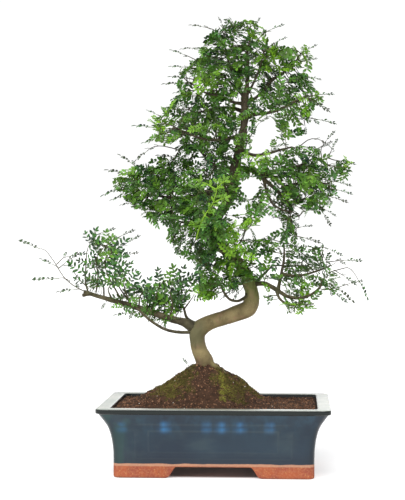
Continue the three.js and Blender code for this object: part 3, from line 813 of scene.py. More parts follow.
# Trunk: across, down, depth and radius in millimetres
trunk_seen = [
    (205, 386, 3, 14), (204.5, 374, 2, 12.8), (204.6, 362, 0, 12.6), (200, 350.5, 0, 11.4),
    (197.1, 340, -2, 10.7), (197.9, 332.2, -3, 11), (203.4, 325.8, -3, 11.5), (212.7, 321.3, -2, 11.1),
    (225, 317.4, 0, 11), (238.3, 312.6, 3, 11.6), (248.8, 307.5, 4, 11.9), (252, 299, 3, 11),
    (251.1, 290, 1, 9.7), (248.2, 280, -2, 9), (242.5, 268, -4, 8.4), (233, 257, -5, 8),
    (223, 248, -4, 7.8), (216, 239, -2, 7.6), (214.5, 229, 0, 7.3), (218, 217, 2, 7), (225, 206, 3, 6.9),
    (231, 194, 3, 6.6), (234.5, 180, 2, 6.5), (236, 165, 0, 6.3), (239, 150, -1, 5.8),
    (242.5, 135, -2, 5.4), (244.5, 120, -2, 5.1), (245, 106, -1, 5), (245, 96, 0, 4.5),
    (247, 86, 4, 3.2), (248, 72, 7, 2.2), (247, 57, 8, 1.7), (250, 38, 4, 1.1),
]
# Surface roots: places in millimetres from the pot's middle, and radius
root_routes = [
    [(-14, -2, 156, 6), (1, -7, 147, 4.8), (16, -13, 136, 3.8), (32, -18, 122, 2.8), (48, -22, 108, 2)],
    [(-22, 0, 157, 5.6), (-33, -10, 144, 4.2), (-46, -20, 129, 3), (-60, -34, 112, 2)],
    [(-18, 4, 155, 5.6), (-26, 22, 143, 4), (-34, 42, 126, 2.6), (-42, 58, 111, 1.8)],
    [(-16, -4, 151, 5), (-12, -16, 142, 3.4), (-8, -30, 130, 2.2), (-10, -44, 118, 1.6)],
    [(-12, 6, 155, 5), (4, 18, 143, 3.4), (18, 32, 128, 2.4)],
]

# Main limbs: start and end radius, then the route seen from inside the trunk out to the foliage
limb_routes = {
    "low_left": (6.2, 2.6, [
        (198, 329, 0), (187, 323, -4), (173, 319.5, -8), (158.5, 314.8, -9), (143, 309.5, -8),
        (129, 304.8, -5), (118, 302, -2), (107, 298.8, 0), (94, 295, 4), (84, 291.5, 6),
    ]),
    "low_left_under": (2.6, 1.6, [
        (198, 331, -3), (186, 332.4, -8), (174.5, 331.7, -14), (164.5, 329, -18), (156.5, 324.6, -20),
        (148.5, 319, -22), (141, 312, -18), (136, 307, -10),
    ]),
    "low_left_up": (2.6, 1.3, [(196, 324, 0), (187, 318, 3), (184, 309, 5), (180, 300, 6)]),
    "hook": (2.3, 1.5, [
        (248, 294, -4), (244, 298, -9), (237.5, 301, -15), (230, 299.5, -19), (225, 294, -22),
        (221, 286, -25), (216, 276, -28),
    ]),
    "low_right": (4, 1.3, [
        (250, 284, 0), (263, 283.5, -5), (272, 287, -9), (280, 292, -11), (288, 296.5, -13),
        (300, 298, -12), (312, 294, -8), (320, 287, -4), (322.5, 279, -2),
    ]),
    "low_right_up": (2.6, 1.2, [(278, 290, -11), (281, 275, -7), (284, 259, -2), (284, 243, 3)]),
    "low_right_out": (2.4, 1.1, [(282, 274, -6), (297, 276, 3), (314, 272, 10), (330, 266, 14)]),
    "low_right_down": (2.2, 1.1, [(276, 289, -10), (280, 299, -16), (290, 305, -20), (302, 303, -20)]),
    "back_low": (3.2, 1.3, [(250, 288, 4), (257, 281, 28), (264, 274, 50), (272, 266, 68)]),
    "mid_left": (3.6, 1.3, [(216, 238, -2), (204, 230, -12), (192, 225, -18), (178, 221, -22)]),
    "centre_low": (2.8, 1.3, [(231, 255, -5), (231, 256, -20), (233, 251, -34), (238, 245, -44)]),
    "mid_back": (3.2, 1.3, [(215, 231, 2), (209, 226, 24), (202, 220, 44), (196, 214, 62)]),
    "left": (4.2, 1.4, [
        (230, 195, 2), (217, 192.5, -6), (200, 195, -12), (182, 198, -14), (165, 197, -13),
        (148, 194, -9),
    ]),
    "left_high": (3, 1.1, [
        (235.5, 173, 0), (222, 167.5, 6), (209, 162, 10), (203, 154, 12), (191, 141, 12), (178, 130, 10),
    ]),
    "front": (2.8, 1.3, [(232, 187, 0), (228, 188, -20), (222, 191, -38), (217, 195, -54)]),
    "back": (3.2, 1.2, [(233, 184, 2), (228, 178, 26), (222, 173, 50), (216, 169, 74), (212, 166, 98)]),
    "right": (4.6, 1.5, [
        (235, 169, 0), (247, 169, -6), (257, 173, -10), (266, 181, -12), (276, 189.5, -12),
        (285, 198, -11), (291, 207, -9),
    ]),
    "right_mid": (3, 1.2, [
        (239, 149, 0), (252, 155, -8), (266, 154, -12), (280, 150, -12), (292, 147, -8),
    ]),
    "right_low": (2.2, 1.1, [
        (264, 180, -11), (267, 193, -16), (273, 204, -18), (283, 210, -16), (292, 212, -12),
    ]),
    "right_out": (2.8, 1.2, [(282, 188, -12), (296, 184, -6), (312, 182, 0), (328, 184, 4)]),
    "right_high": (2.8, 1.2, [(262, 173, -10), (280, 170, -4), (298, 166, 2), (314, 158, 8)]),
    "right_back": (2.8, 1.2, [(267, 176, -11), (275, 177, 10), (284, 176, 30), (291, 177, 48)]),
    "upper_left": (3.4, 1.2, [
        (242, 136, -2), (230, 138, -10), (216, 140, -18), (200, 138, -22), (184, 132, -22),
    ]),
    "upper_left_back": (3.2, 1.2, [(244, 112, -1), (232, 108, 12), (216, 108, 26), (200, 112, 40)]),
    "leader_left": (2.2, 1, [(244, 99, 0), (238, 84, -3), (231, 69, -4), (226, 52, -2), (224, 34, 2)]),
    "leader_right": (2.2, 1, [(246, 97, 0), (252, 86, -4), (259, 70, -6), (264, 52, -5)]),
    "top_left": (2.6, 1.1, [
        (244, 104, -1), (233, 102, -8), (220, 96, -14), (206, 93, -16), (192, 84, -15),
    ]),
    "top_left_back": (2, 1, [(244, 97, 1), (230, 82, 14), (213, 68, 26), (203, 58, 34)]),
    "top_back": (2, 1, [(246, 98, 1), (248, 84, 20), (246, 70, 40), (240, 58, 52)]),
    "right_top": (3, 1.2, [
        (245, 117, 0), (255, 114.5, -6), (267, 113, -10), (280, 109.5, -12), (292, 103, -13),
        (304, 97, -13),
    ]),
    "right_top_up": (2.6, 1.1, [
        (246, 103, 1), (254, 99, 5), (262, 92, 9), (272, 81, 12), (284, 72, 14), (295, 62, 14),
    ]),
    "right_top_back": (2, 1.1, [(264, 90, 9), (270, 80, 28), (278, 76, 46)]),
}

# Sides of the round trunk, limbs and roots, and how far a swelling stands out as a share of its size
bark_sides = 30
limb_sides = 11
root_sides = 12
knob_height = 0.26


def bark_depth(turn, along, radius, seed):
    """How far the bark stands out, as a share of the radius: slow swellings, then long fissures"""
    around = Vector((math.cos(turn), math.sin(turn), 0))
    swell = noise.noise(around * 0.9 + Vector((0, 0, along / (3.5 * radius) + seed)))
    fissure = noise.noise(around * 3.2 + Vector((0, 0, along / (1.9 * radius) + seed)))
    crack = abs(noise.noise(around * 6.5 + Vector((0, 0, along / (0.9 * radius) - seed))))
    return 0.11 * swell + 0.08 * fissure - 0.06 * (1 - min(1, 4 * crack)) ** 2


def round_wood(route, sides, spacing, seed, collar=0.0, knobs=()):
    """Points and faces of one round limb with bark, through (x, y, z, radius)"""
    line = course(route, spacing)
    along = np.concatenate([[0], np.cumsum(np.linalg.norm(np.diff(line[:, :3], axis=0), axis=1))])
    tangents = np.gradient(line[:, :3], axis=0)
    across = Vector((1, 0.2, 0)) if abs(tangents[0][2]) > abs(tangents[0][0]) else Vector((0, 0, 1))
    rings = []
    for (x, y, z, radius), ahead, run in zip(line, tangents, along):
        ahead = Vector(ahead).normalized()
        across = (across - ahead * across.dot(ahead)).normalized()
        other = ahead.cross(across)
        radius *= 1 + collar * math.exp(-run / (1.6 * route[0][3]))
        ring = []
        for j in range(sides):
            turn = 2 * math.pi * j / sides
            out = across * math.cos(turn) + other * math.sin(turn)
            reach = radius * (1 + bark_depth(turn, run, max(radius, 2), seed))
            skin = Vector((x, y, z)) + out * radius
            gaps = [((skin - Vector(knob)).length / size, size) for knob, size in knobs]
            reach += max((knob_height * size * math.exp(-gap * gap) for gap, size in gaps), default=0)
            ring.append(Vector((x, y, z)) + out * reach)
        rings.append(ring)
    return [p for ring in rings for p in ring], loft(rings)


def grow_twigs(wood, aims, draw, step=7.5, stop=9.5):
    """Twigs creeping from the wood toward the aims: the nearest growing point takes each aim's pull"""
    points = [Vector(p) for p in wood]
    parents = [None] * len(points)
    waiting = list(aims)
    for _ in range(45):
        near = KDTree(len(points))
        for i, p in enumerate(points):
            near.insert(p, i)
        near.balance()
        pulls = defaultdict(Vector)
        left = []
        for aim in waiting:
            place, index, gap = near.find(aim)
            if gap > stop:
                pulls[index] += (aim - place).normalized()
                left.append(aim)
            elif gap > 4:
                points.append(aim)
                parents.append(index)
        for index, pull in pulls.items():
            heading = pull.normalized() + Vector(draw.uniform(-0.28, 0.28) for _ in range(3))
            if parents[index] is not None:
                heading += 0.5 * (points[index] - points[parents[index]]).normalized()
            points.append(points[index] + heading.normalized() * step)
            parents.append(index)
        waiting = left
        if not waiting:
            break
    return points, parents


# Masses of foliage on each limb: across, down and depth of the middle, then half the width and half the
# height in the picture, and half the depth in millimetres
masses_seen = {
    "trunk": [(252, 30, 0, 10, 12, 30), (232, 52, -10, 18, 15, 42), (240, 70, 14, 16, 14, 40)],
    "leader_left": [(228, 31, 0, 14, 14, 34), (209, 54, 2, 15, 12, 40)],
    "leader_right": [
        (262, 51, -6, 16, 13, 40), (254, 88, -10, 5, 8, 14), (253, 106, -8, 4, 7, 14),
        (279, 50, 0, 8, 7, 24),
    ],
    "top_left": [
        (190, 72, -16, 16, 8, 34), (212, 75, -24, 18, 13, 40), (226, 90, -20, 15, 9, 34),
        (204, 91, -22, 14, 8, 30), (234, 96, -12, 8, 4, 14), (184, 94, -18, 9, 6, 24),
    ],
    "top_left_back": [(208, 66, 52, 20, 16, 38)],
    "top_back": [(244, 60, 62, 24, 18, 38)],
    "right_top_up": [(268, 70, 10, 18, 13, 44), (300, 56, 12, 12, 10, 36), (299, 79, 16, 15, 10, 40)],
    "right_top_back": [(278, 90, 48, 20, 14, 40)],
    "right_top": [
        (308, 99, -14, 15, 10, 40), (284, 108, -18, 19, 10, 38), (303, 116, -12, 10, 7, 26),
        (273, 100, -10, 10, 7, 24), (302, 125, -10, 3, 5, 12), (281, 116, -12, 9, 3, 16),
    ],
    "upper_left_back": [
        (181, 109, 24, 16, 10, 40), (206, 107, 26, 19, 11, 42), (196, 122, 72, 26, 16, 36),
    ],
    "upper_left": [
        (164, 124, -20, 14, 11, 34), (190, 125, -26, 19, 12, 42), (215, 124, -26, 15, 13, 38),
        (234, 119, -12, 7, 10, 20), (233, 131, -12, 6, 8, 16), (170, 138, -14, 18, 7, 32),
        (160, 130, -18, 9, 6, 22),
    ],
    "left_high": [
        (214, 148, 0, 15, 14, 44), (190, 147, 14, 13, 8, 36), (209, 174, 0, 12, 11, 44),
        (171, 164, 0, 8, 6, 18), (223, 157, 0, 9, 8, 24), (188, 158, 10, 9, 4, 16),
    ],
    "right_mid": [
        (255, 125, -8, 6, 6, 16), (251, 140, -12, 6, 9, 18), (243, 152, -16, 8, 11, 22),
        (249, 161, -14, 8, 5, 18), (296, 152, -10, 18, 8, 40), (264, 159, -22, 12, 6, 28),
        (282, 137, -10, 7, 7, 18), (272, 147, -12, 6, 4, 16),
    ],
    "right_high": [
        (325, 165, 10, 13, 9, 40), (318, 154, 4, 7, 7, 24), (302, 170, 4, 22, 10, 46),
        (346, 165, 8, 7, 8, 22),
    ],
    "right": [
        (266, 173, -18, 14, 6, 26), (302, 190, -14, 19, 13, 46), (270, 185, -14, 8, 7, 20),
        (251, 176, -16, 10, 5, 16),
    ],
    "right_out": [(327, 184, 6, 13, 12, 40), (320, 201, 2, 13, 9, 40)],
    "right_low": [
        (290, 210, -14, 13, 6, 32), (258, 204, -18, 14, 4, 20), (245, 201, -18, 7, 4, 16),
        (291, 226, -10, 9, 7, 26), (272, 211, -14, 10, 4, 16), (308, 211, -6, 9, 4, 16),
        (277, 196, -14, 9, 6, 18), (291, 218, -10, 6, 5, 14),
    ],
    "right_back": [(300, 178, 66, 30, 24, 40)],
    "left": [
        (150, 172, -8, 19, 9, 44), (126, 182, -8, 15, 9, 40), (150, 190, -14, 21, 11, 48),
        (180, 194, -18, 17, 13, 48), (152, 205, -12, 17, 8, 40), (125, 191, -8, 9, 5, 24),
        (136, 203, -8, 10, 5, 22), (149, 213, -12, 9, 4, 18),
    ],
    "mid_left": [
        (178, 178, 4, 15, 9, 44), (168, 217, -20, 15, 10, 42), (181, 230, -20, 13, 8, 36),
        (196, 220, -34, 15, 11, 42), (177, 246, -14, 8, 13, 24),
    ],
    "mid_back": [(184, 206, 72, 30, 22, 42), (200, 246, 62, 22, 16, 36)],
    "back": [(212, 180, 82, 30, 22, 42), (210, 168, 118, 13, 15, 28)],
    "front": [(204, 200, -50, 16, 15, 44), (228, 184, -40, 11, 13, 36), (213, 222, -62, 12, 13, 38)],
    "centre_low": [
        (216, 240, -46, 14, 10, 36), (226, 213, -42, 6, 5, 14), (245, 228, -44, 12, 6, 26),
        (251, 217, -42, 10, 4, 18), (236, 240, -48, 10, 9, 32), (233, 257, -52, 7, 9, 22),
        (251, 249, -34, 11, 12, 34), (252, 268, -34, 8, 10, 22),
    ],
    "hook": [
        (202, 262, -30, 11, 11, 36), (216, 269, -32, 10, 11, 32), (230, 280, -24, 13, 7, 26),
        (207, 288, -30, 11, 12, 26), (216, 290, -26, 8, 10, 18), (233, 288, -20, 9, 5, 16),
    ],
    "low_right_up": [
        (272, 240, 0, 11, 7, 30), (289, 249, 2, 12, 10, 42), (288, 270, -6, 8, 10, 34),
        (270, 251, -4, 8, 4, 18), (286, 284, -8, 7, 8, 22),
    ],
    "low_right_out": [
        (318, 251, 10, 13, 7, 36), (305, 262, 10, 17, 10, 44), (331, 267, 14, 12, 7, 34),
        (306, 279, 4, 15, 7, 40),
    ],
    "low_right": [(328, 284, -4, 11, 10, 34), (295, 297, -12, 13, 7, 32), (266, 276, -10, 7, 6, 20)],
    "low_right_down": [(267, 298, -18, 7, 6, 18), (291, 309, -20, 9, 7, 20), (307, 304, -20, 10, 6, 24)],
    "back_low": [(304, 266, 70, 18, 15, 38)],
    "low_left": [
        (93, 286, 4, 12, 7, 20), (126, 296, 0, 12, 6, 20), (150, 304, -4, 13, 7, 22),
        (140, 290, 36, 16, 7, 18), (109, 302, -8, 6, 4, 12), (176, 309, 0, 9, 7, 18),
        (124, 306, -8, 10, 3, 10),
    ],
    "low_left_under": [(146, 317, -18, 12, 6, 18), (162, 322, -16, 8, 3, 12)],
    "low_left_up": [(174, 303, 4, 10, 7, 20), (181, 292, 3, 5, 8, 16)],
}
# How full the foliage of a limb is, where it isn't the common 1
full_limbs = ("low_left_under", "low_right_down", "hook", "front", "left")
thin_limbs = (
    "low_right_up", "low_right", "right", "right_high", "back_low", "right_out", "right_mid", "centre_low",
)
fullness = {
    **dict.fromkeys(full_limbs, 1.25), **dict.fromkeys(thin_limbs, 0.75),
    **dict.fromkeys(("low_right_out", "right_back"), 0.5),
}

# Thin shoots that stand out of the masses: the route seen, and the size of their leaves. A shoot above
# the far size has a leaf at its end alone.
far_size = 1.2
shoots_seen = [
    ([(220, 34, 0), (212, 29, -4), (204, 27, -6)], 0.9),
    ([(207, 50, 6), (199, 48, 6), (193, 48, 6)], 0.8),
    ([(198, 61, 0), (190, 57, -2), (184, 54.5, -4)], 0.9), ([(194, 68, -14), (184, 67, -16)], 0.9),
    ([(192, 79, -14), (185, 78, -16)], 1), ([(200, 86, -14), (190, 84, -16), (180, 83.5, -16)], 1.1),
    ([(196, 90, -16), (186, 91, -16)], 0.8), ([(256, 42, -4), (263, 34, -8), (270, 30, -8)], 0.9),
    ([(264, 50, -4), (270, 46, -4), (275, 43, -6)], 0.8),
    ([(240, 36, 4), (234, 24, 4), (232, 21, 4)], 0.5), ([(226, 32, 0), (222, 24, 0)], 0.5),
    ([(252, 34, 4), (256, 25, 2)], 0.5), ([(298, 56, 12), (304, 52, 10)], 0.9),
    ([(300, 62, 12), (306, 60.5, 10)], 0.7), ([(304, 76, 12), (310, 77, 12)], 0.7),
    ([(310, 96, -12), (317, 95, -12)], 1), ([(306, 98, -12), (314, 102, -14)], 1.1),
    ([(302, 114, -12), (310, 118, -14), (318, 119.5, -14)], 1.1),
    ([(304, 120, -12), (305, 126, -12)], 0.5), ([(160, 116, -20), (157, 114.5, -20)], 0.7),
    ([(160, 128, -20), (152, 127, -20)], 1.2), ([(164, 138, -18), (156, 139.5, -18)], 0.9),
    ([(172, 148, 10), (162, 146, 6), (153, 147, 2), (147, 151, 0)], 1),
    ([(186, 160, 14), (176, 158, 10)], 1.2), ([(138, 168, -4), (132, 163.5, -6)], 1),
    ([(134, 176, -8), (124, 173.5, -8)], 1.2), ([(128, 186, -6), (119, 189, -6)], 1.2),
    ([(132, 194, -6), (124, 196, -6)], 0.9), ([(138, 202, -6), (131, 203, -6)], 0.7),
    ([(304, 164, 4), (316, 150, 6), (322, 146, 8)], 0.7),
    ([(322, 160, 8), (321, 149, 8), (326, 141, 8)], 0.8),
    ([(300, 146, 0), (309, 139.5, 2), (318, 139, 4), (325, 143, 6)], 0.7),
    ([(328, 158, 8), (332, 149, 8)], 0.7),
    ([(294, 221, -14), (280, 218.5, -14), (272, 215.5, -14)], 0.8),
    ([(334, 160, 8), (341, 161, 8)], 0.9), ([(326, 180, 6), (337, 182, 6)], 0.9),
    ([(328, 188, 2), (338, 190, 2)], 0.9), ([(320, 194, 2), (332, 197, 2)], 1),
    ([(314, 204, 2), (320, 209, 2), (323, 213, 2)], 0.9), ([(318, 206, -6), (326, 210, -6)], 0.7),
    ([(296, 228, -10), (301, 227, -10)], 0.7), ([(296, 236, -8), (303, 237.5, -8)], 1.1),
    ([(310, 250, 8), (322, 247, 6), (329, 249, 4)], 0.9),
    ([(326, 262, 12), (337, 261, 10), (344, 260.5, 10)], 1.1),
    ([(330, 272, 14), (341, 269, 12), (348, 267.5, 12), (353, 271.5, 10), (356, 276, 8),
      (358.5, 280.5, 8)], 1.3),
    ([(324, 290, -4), (336, 288, -6), (345, 285, -8), (350, 283.5, -8)], 0.8),
    ([(330, 284, -6), (337, 289, -8)], 1.3), ([(328, 288, -10), (334, 292, -12)], 1),
    ([(334, 270, 14), (344, 276, 12)], 0.9),
    ([(84, 291, 6), (75, 286.5, 6), (66, 279.5, 6), (60, 271.5, 7), (55, 263, 7), (50, 256, 6),
      (46, 250.8, 6), (41, 248.6, 6)], 1.75),
    ([(58, 267, 8), (53, 264.5, 8)], 0.9), ([(70, 281, 6), (64, 278, 4), (59, 278, 3)], 1.6),
    ([(84, 291, 6), (79, 289, 6), (74, 289.5, 6)], 1.1),
    ([(57, 264, 8), (63, 258, 8), (68, 256.5, 8)], 1.15), ([(59, 268, 8), (65, 263, 8)], 1.1),
    ([(86, 286, 6), (78, 278, 8), (73, 270, 8)], 0.6),
    ([(140, 310, -16), (134, 313, -18), (129, 313.5, -20)], 0.9),
    ([(108, 299, -2), (106, 302, -4)], 0.5), ([(196, 376, -14), (191, 369, -16), (188, 365, -16)], 0.5),
    ([(261, 183, -12), (274, 195, -14), (283, 202, -14)], 0.5),
    ([(272, 186, -12), (280, 195, -16), (290, 197, -16)], 0.5),
    ([(276, 193, -14), (287, 191, -18), (298, 184, -18)], 0.5),
    ([(281, 204, -16), (289, 193, -20), (299, 177, -20), (307, 168, -18)], 0.5),
    ([(268, 196, -16), (276, 203, -20), (287, 206, -20)], 0.5),
    ([(291, 207, -10), (290, 217, -8), (291, 225, -6), (288, 236, -2)], 0.5),
    ([(242, 283, -20), (236, 287, -20), (232, 290, -20)], 0.9),
    ([(244, 286, -18), (240, 291, -18)], 0.7), ([(181, 303, 6), (187, 292, 8), (191, 287, 8)], 0.7),
    ([(106, 246, -4), (114, 240, -4), (121, 236, -4)], 0.9),
    ([(112, 252, -9), (121, 247, -8), (127, 243, -8)], 0.9),
    ([(107, 262, -8), (117, 257, -6), (124, 255, -6)], 0.9),
    ([(90, 243, 6), (95, 236, 6), (101, 233, 6)], 0.9),
]
# Young yellow-green shoots in front of the crown
fresh_shoots_seen = [
    [(196, 240, -64), (200, 226, -70), (205, 215, -74), (212, 205, -78), (216, 193, -82), (218, 184, -82)],
    [(215, 189, -80), (207, 184, -82), (202, 182, -82)],
    [(216, 190, -82), (221, 184, -84), (224, 181, -84)],
    [(213, 203, -78), (219, 200, -82), (224, 198, -82)],
    [(205, 216, -74), (211, 219, -78), (216, 223, -78)],
    [(262, 171, -30), (257, 164, -34), (254.5, 158, -36), (248, 155, -36)],
    [(255, 160, -36), (260, 156, -38), (264, 155, -38)], [(228, 247, -58), (229, 253, -60)],
    [(228, 232, -56), (236, 226, -58), (243, 225, -58)],
]
# Upright leafy stems along the low left limb
stems_seen = [
    [(88, 292, 5), (85.5, 281, 6), (86, 265, 8), (87, 251, 8), (90, 243, 6)],
    [(96, 293, 3), (98, 276, 0), (96, 262, -2), (99, 252, -3), (106, 246, -4)],
    [(121, 299, -2), (112.5, 284, -6), (106, 270, -8), (105, 259, -9), (112, 252, -9)],
    [(131, 304, -6), (121, 290, 6), (113, 276, 12), (109, 269, 14), (112, 264, 14)],
    [(129, 301, -4), (124.5, 288, -12), (124, 279, -14), (126, 274, -14)],
    [(104, 296, 0), (103, 284, 10), (95, 270, 14), (92, 260, 16), (97, 252, 16)],
    [(139, 306, -8), (140, 297, -14), (143, 291, -16)],
    [(152, 311, -8), (156, 299, -2), (157, 290, 2), (162, 283, 4)],
    [(148, 309, -8), (147, 302, 8), (150, 297, 12)],
    [(170, 317, -8), (172.5, 304, -12), (170, 292, -14), (173, 284, -14)],
    [(164, 315, -8), (165, 303, 12), (163, 293, 14)],
    [(112, 299, -2), (108, 289, -16), (114, 282, -18)],
    [(180, 300, 6), (177, 291, 6), (180, 284, 4), (181, 280, 2)],
    [(184, 309, 5), (190, 301, 2), (194, 295, 0)],
]

draw = random.Random(7)

# Millimetres at the pot's middle for one step in the picture, then each mass as carrier, middle and reach
picture_step = -eye.y / focal
masses = [
    (
        carrier, seen(across, down, depth),
        Vector((half_wide, 0, half_tall)) * picture_step + Vector((0, half_deep, 0)),
    )
    for carrier, listed in masses_seen.items()
    for across, down, depth, half_wide, half_tall, half_deep in listed
]
mass_middles = np.array([middle for _, middle, _ in masses])
mass_reaches = np.array([reach for _, _, reach in masses])


def in_crown(point, slack):
    """Whether a place lies inside one of the masses, each made larger by the slack"""
    away = (np.array(point) - mass_middles) / mass_reaches
    return bool(((away**2).sum(axis=1) < slack * slack).any())


# Swellings of the trunk: at the foot of each limb, and old scars as place and size
scars = [
    (-22, -11, 214, 7), (44, -9, 250, 4), (52, -10, 248, 4), (60, -6, 252, 4), (3, -8, 330, 6),
    (31, -5, 300, 6), (-26, -9, 182, 5), (14, -10, 222, 5),
]
knobs = [(seen(*route[0]), 1.5 * start + 3) for start, _, route in limb_routes.values()]
knobs += [(Vector(place), size) for *place, size in scars]
trunk_route = [(*seen(*place), radius) for *place, radius in trunk_seen]
wood_points, wood_faces = round_wood(trunk_route, bark_sides, 2.0, 1.0, knobs=knobs)


def add_wood(points, faces):
    """One more round piece in the tree's solid wood"""
    first = len(wood_points)
    wood_points.extend(points)
    wood_faces.extend(tuple(first + i for i in face) for face in faces)


for i, route in enumerate(root_routes):
    add_wood(*round_wood(route, root_sides, 2.4, 20.0 + i))
trunk_count = len(wood_points)

# Twigs grow from the top of the trunk, and from each limb beyond its foot
line_step = 5
trunk_top_steps = 22
limb_foot_steps = 2
limb_lines = {"trunk": course(trunk_route, line_step)[-trunk_top_steps:, :3]}
for i, (name, (start, end, route)) in enumerate(limb_routes.items()):
    full = [(*seen(*p), r) for p, r in zip(route, np.linspace(start, end, len(route)))]
    add_wood(*round_wood(full, limb_sides, 2.6, 40.0 + i, collar=0.45))
    limb_lines[name] = course(full, line_step)[limb_foot_steps:, :3]

# Thick foot with which the low left limb leaves the trunk, and the short stub where a side branch was
# sawn off that limb
thick_foot_seen = [(200, 330, -2, 8.6), (193, 327.4, -4, 7.8), (186.5, 323.8, -5, 6.6), (179, 321.2, -7, 5.4)]
sawn_stub = [(-184, 3, 256, 2.6), (-192, -1, 255, 2.8), (-197, -4, 254, 2.7)]
thick_foot = [(*seen(*place), radius) for *place, radius in thick_foot_seen]
add_wood(*round_wood(thick_foot, sides=14, spacing=2.2, seed=81.0))
add_wood(*round_wood(sawn_stub, sides=10, spacing=1.5, seed=80.0))

# Twigs: growing points per square millimetre of a mass as seen, radius at the tip and at the most, and the
# power by which the radii of two twigs add up where they fork. Leaves grow within four steps of a tip, but
# not where a slow random pattern lies below a value that is higher on the low left limb.
aims_per_area = 0.046
twig_tip = 0.40
twig_most = 2.1
fork_power = 2.4
leafy_steps = 4
bare_below = -0.2
bare_below_low_left = -0.08
twig_points, twig_edges, twig_radius, twig_youth, leaf_seats = [], [], [], [], []
for carrier, line in limb_lines.items():
    aims = []
    for feeder, middle, reach in masses:
        count = (aims_per_area * reach.x * reach.z + 2) * fullness.get(carrier, 1)
        for _ in range(round(count) if feeder == carrier else 0):
            unit = Vector(draw.gauss(0, 1) for _ in range(3)).normalized() * draw.uniform(0.1, 1) ** 0.45
            aims.append(middle + Vector(0.86 * a * b for a, b in zip(unit, reach)))
    points, parents = grow_twigs([Vector(p) for p in line], aims, draw)
    children = defaultdict(list)
    for i, parent in enumerate(parents):
        if parent is not None:
            children[parent].append(i)
    thick = [twig_tip] * len(points)
    to_tip = [0] * len(points)
    for i in reversed(range(len(points))):
        if children[i]:
            joined = sum(thick[c] ** fork_power for c in children[i]) ** (1 / fork_power)
            thick[i] = min(twig_most, joined)
            to_tip[i] = 1 + max(to_tip[c] for c in children[i])
    first = len(twig_points)
    twig_points += points
    twig_radius += thick
    twig_youth += [max(0, 1 - depth / leafy_steps) for depth in to_tip]
    twig_edges += [(first + p, first + i) for i, p in enumerate(parents) if p is not None]
    bare_here = bare_below_low_left if carrier.startswith("low_left") else bare_below
    for i, parent in enumerate(parents):
        left_bare = noise.noise(points[i] / 8) < bare_here and to_tip[i] > 0
        if parent is not None and to_tip[i] <= leafy_steps and in_crown(points[i], 1.15) and not left_bare:
            ahead = (points[i] - points[parent]).normalized()
            leaf_seats.append((carrier, points[i], ahead, to_tip[i] == 0))

# A shoot is a thin one, a leafy stem or a fresh green one. It starts from the nearest twig, and its leaves
# stand alternately to each side. Thin shoots of half size have only tiny leaves, and as they start on a
# limb or inside a mass, they are joined to no twig.
half_size = 0.5
thin_shoot, leafy_stem, fresh_shoot = range(3)
all_shoots = [(route, size, thin_shoot) for route, size in shoots_seen]
all_shoots += [(route, 0.9, leafy_stem) for route in stems_seen]
all_shoots += [(route, 0.9, fresh_shoot) for route in fresh_shoots_seen]
shoot_seats = []
near = KDTree(len(twig_points))
for i, p in enumerate(twig_points):
    near.insert(p, i)
near.balance()
laid = []
for route_seen, size, sort in all_shoots:
    leafy = sort != thin_shoot
    route = course([tuple(seen(*p)) for p in route_seen], 6.5)
    start = Vector(route[0])
    nearest = min((near.find(start)[1], *laid), key=lambda i: (twig_points[i] - start).length)
    carrier = min(limb_lines, key=lambda name: np.linalg.norm(limb_lines[name] - route[0], axis=1).min())
    first = len(twig_points)
    if size > half_size:
        twig_edges.append((nearest, first))
    laid += range(first, first + len(route))
    twig_points += [Vector(p) for p in route]
    twig_edges += [(first + i, first + i + 1) for i in range(len(route) - 1)]
    twig_radius += list(np.linspace(1.5 if leafy else 0.8, 0.45, len(route)))
    twig_youth += [2 if sort == fresh_shoot else 0.1] * len(route)
    for i in range(1, len(route)):
        ahead = Vector(route[i] - route[i - 1]).normalized()
        last = i == len(route) - 1
        turns = (0, -1, 1) if last and leafy else (0,) if last else (1 - 2 * (i % 2),)
        if not last and (size > far_size or sort == leafy_stem and draw.random() < 0.4):
            turns = ()
        for hand in turns if last or i > (0.12 if leafy else 0.3) * len(route) else ():
            reach = size * (draw.uniform(0.65, 1) if leafy else 1 if last else draw.uniform(0.4, 0.6))
            reach *= 0.5 if sort == fresh_shoot else 1
            shoot_seats.append((carrier, Vector(route[i]), ahead, hand, reach, sort))

# Bark: painted shade darkens the fork of the low left limb and the trunk high up under the crown; slender
# wood is brown and the foot is muddy at the soil
bark, shader, wire = finish("olive_brown_bark")
height = wire.place("Z") / MM
mottle = wire.cloud(13, 4)
streak = wire.cloud(3.2, 4, stretch=(1, 1, 3))
rust = wire.cloud(8, 3)
dots = wire.cells(3.1)
old = mottle.between(0.3, 0.7).mix((0.170, 0.133, 0.060), (0.300, 0.238, 0.112))
old = (rust.between(0.52, 0.66) * 0.5 * (1 - height.between(240, 262))).mix(old, (0.290, 0.175, 0.105))
# Higher up, the trunk's bark is brown and is darkened further by painted shade under the crown
upper_bark_and_crown_shade = mottle.between(0.3, 0.7).mix((0.056, 0.044, 0.027), (0.125, 0.096, 0.060))
old = height.between(270, 350).mix(old, upper_bark_and_crown_shade)
algae = height.between(236, 262) * (1 - height.between(285, 380)) * rust.between(0.75, 0.4)
old = (algae * 0.85).mix(old, (0.120, 0.150, 0.036))
old = (streak.between(0.54, 0.74) * 0.45).mix(old, (0.050, 0.038, 0.020))
old = ((1 - dots.between(0.10, 0.24)) * 0.4).mix(old, (0.380, 0.320, 0.200))
limb_brown = streak.between(0.35, 0.65).mix((0.072, 0.062, 0.034), (0.028, 0.023, 0.014))
shaded_fork = height.between(172, 188) * (1 - height.between(212, 228)) * (
    1 - ((wire.place("X") - pot_middle.x) / MM).between(-24, -8)
)
old = (shaded_fork * (mottle * 0.5 + 0.4)).mix(old, (0.058, 0.068, 0.034))
old = (wire.own("slender") * 0.85).mix(old, limb_brown)
muddy_foot = mottle.between(0.35, 0.6).mix((0.075, 0.045, 0.026), (0.110, 0.100, 0.034))
old = ((1 - (height + mottle * 16).between(154, 176)) * 0.85).mix(old, muddy_foot)
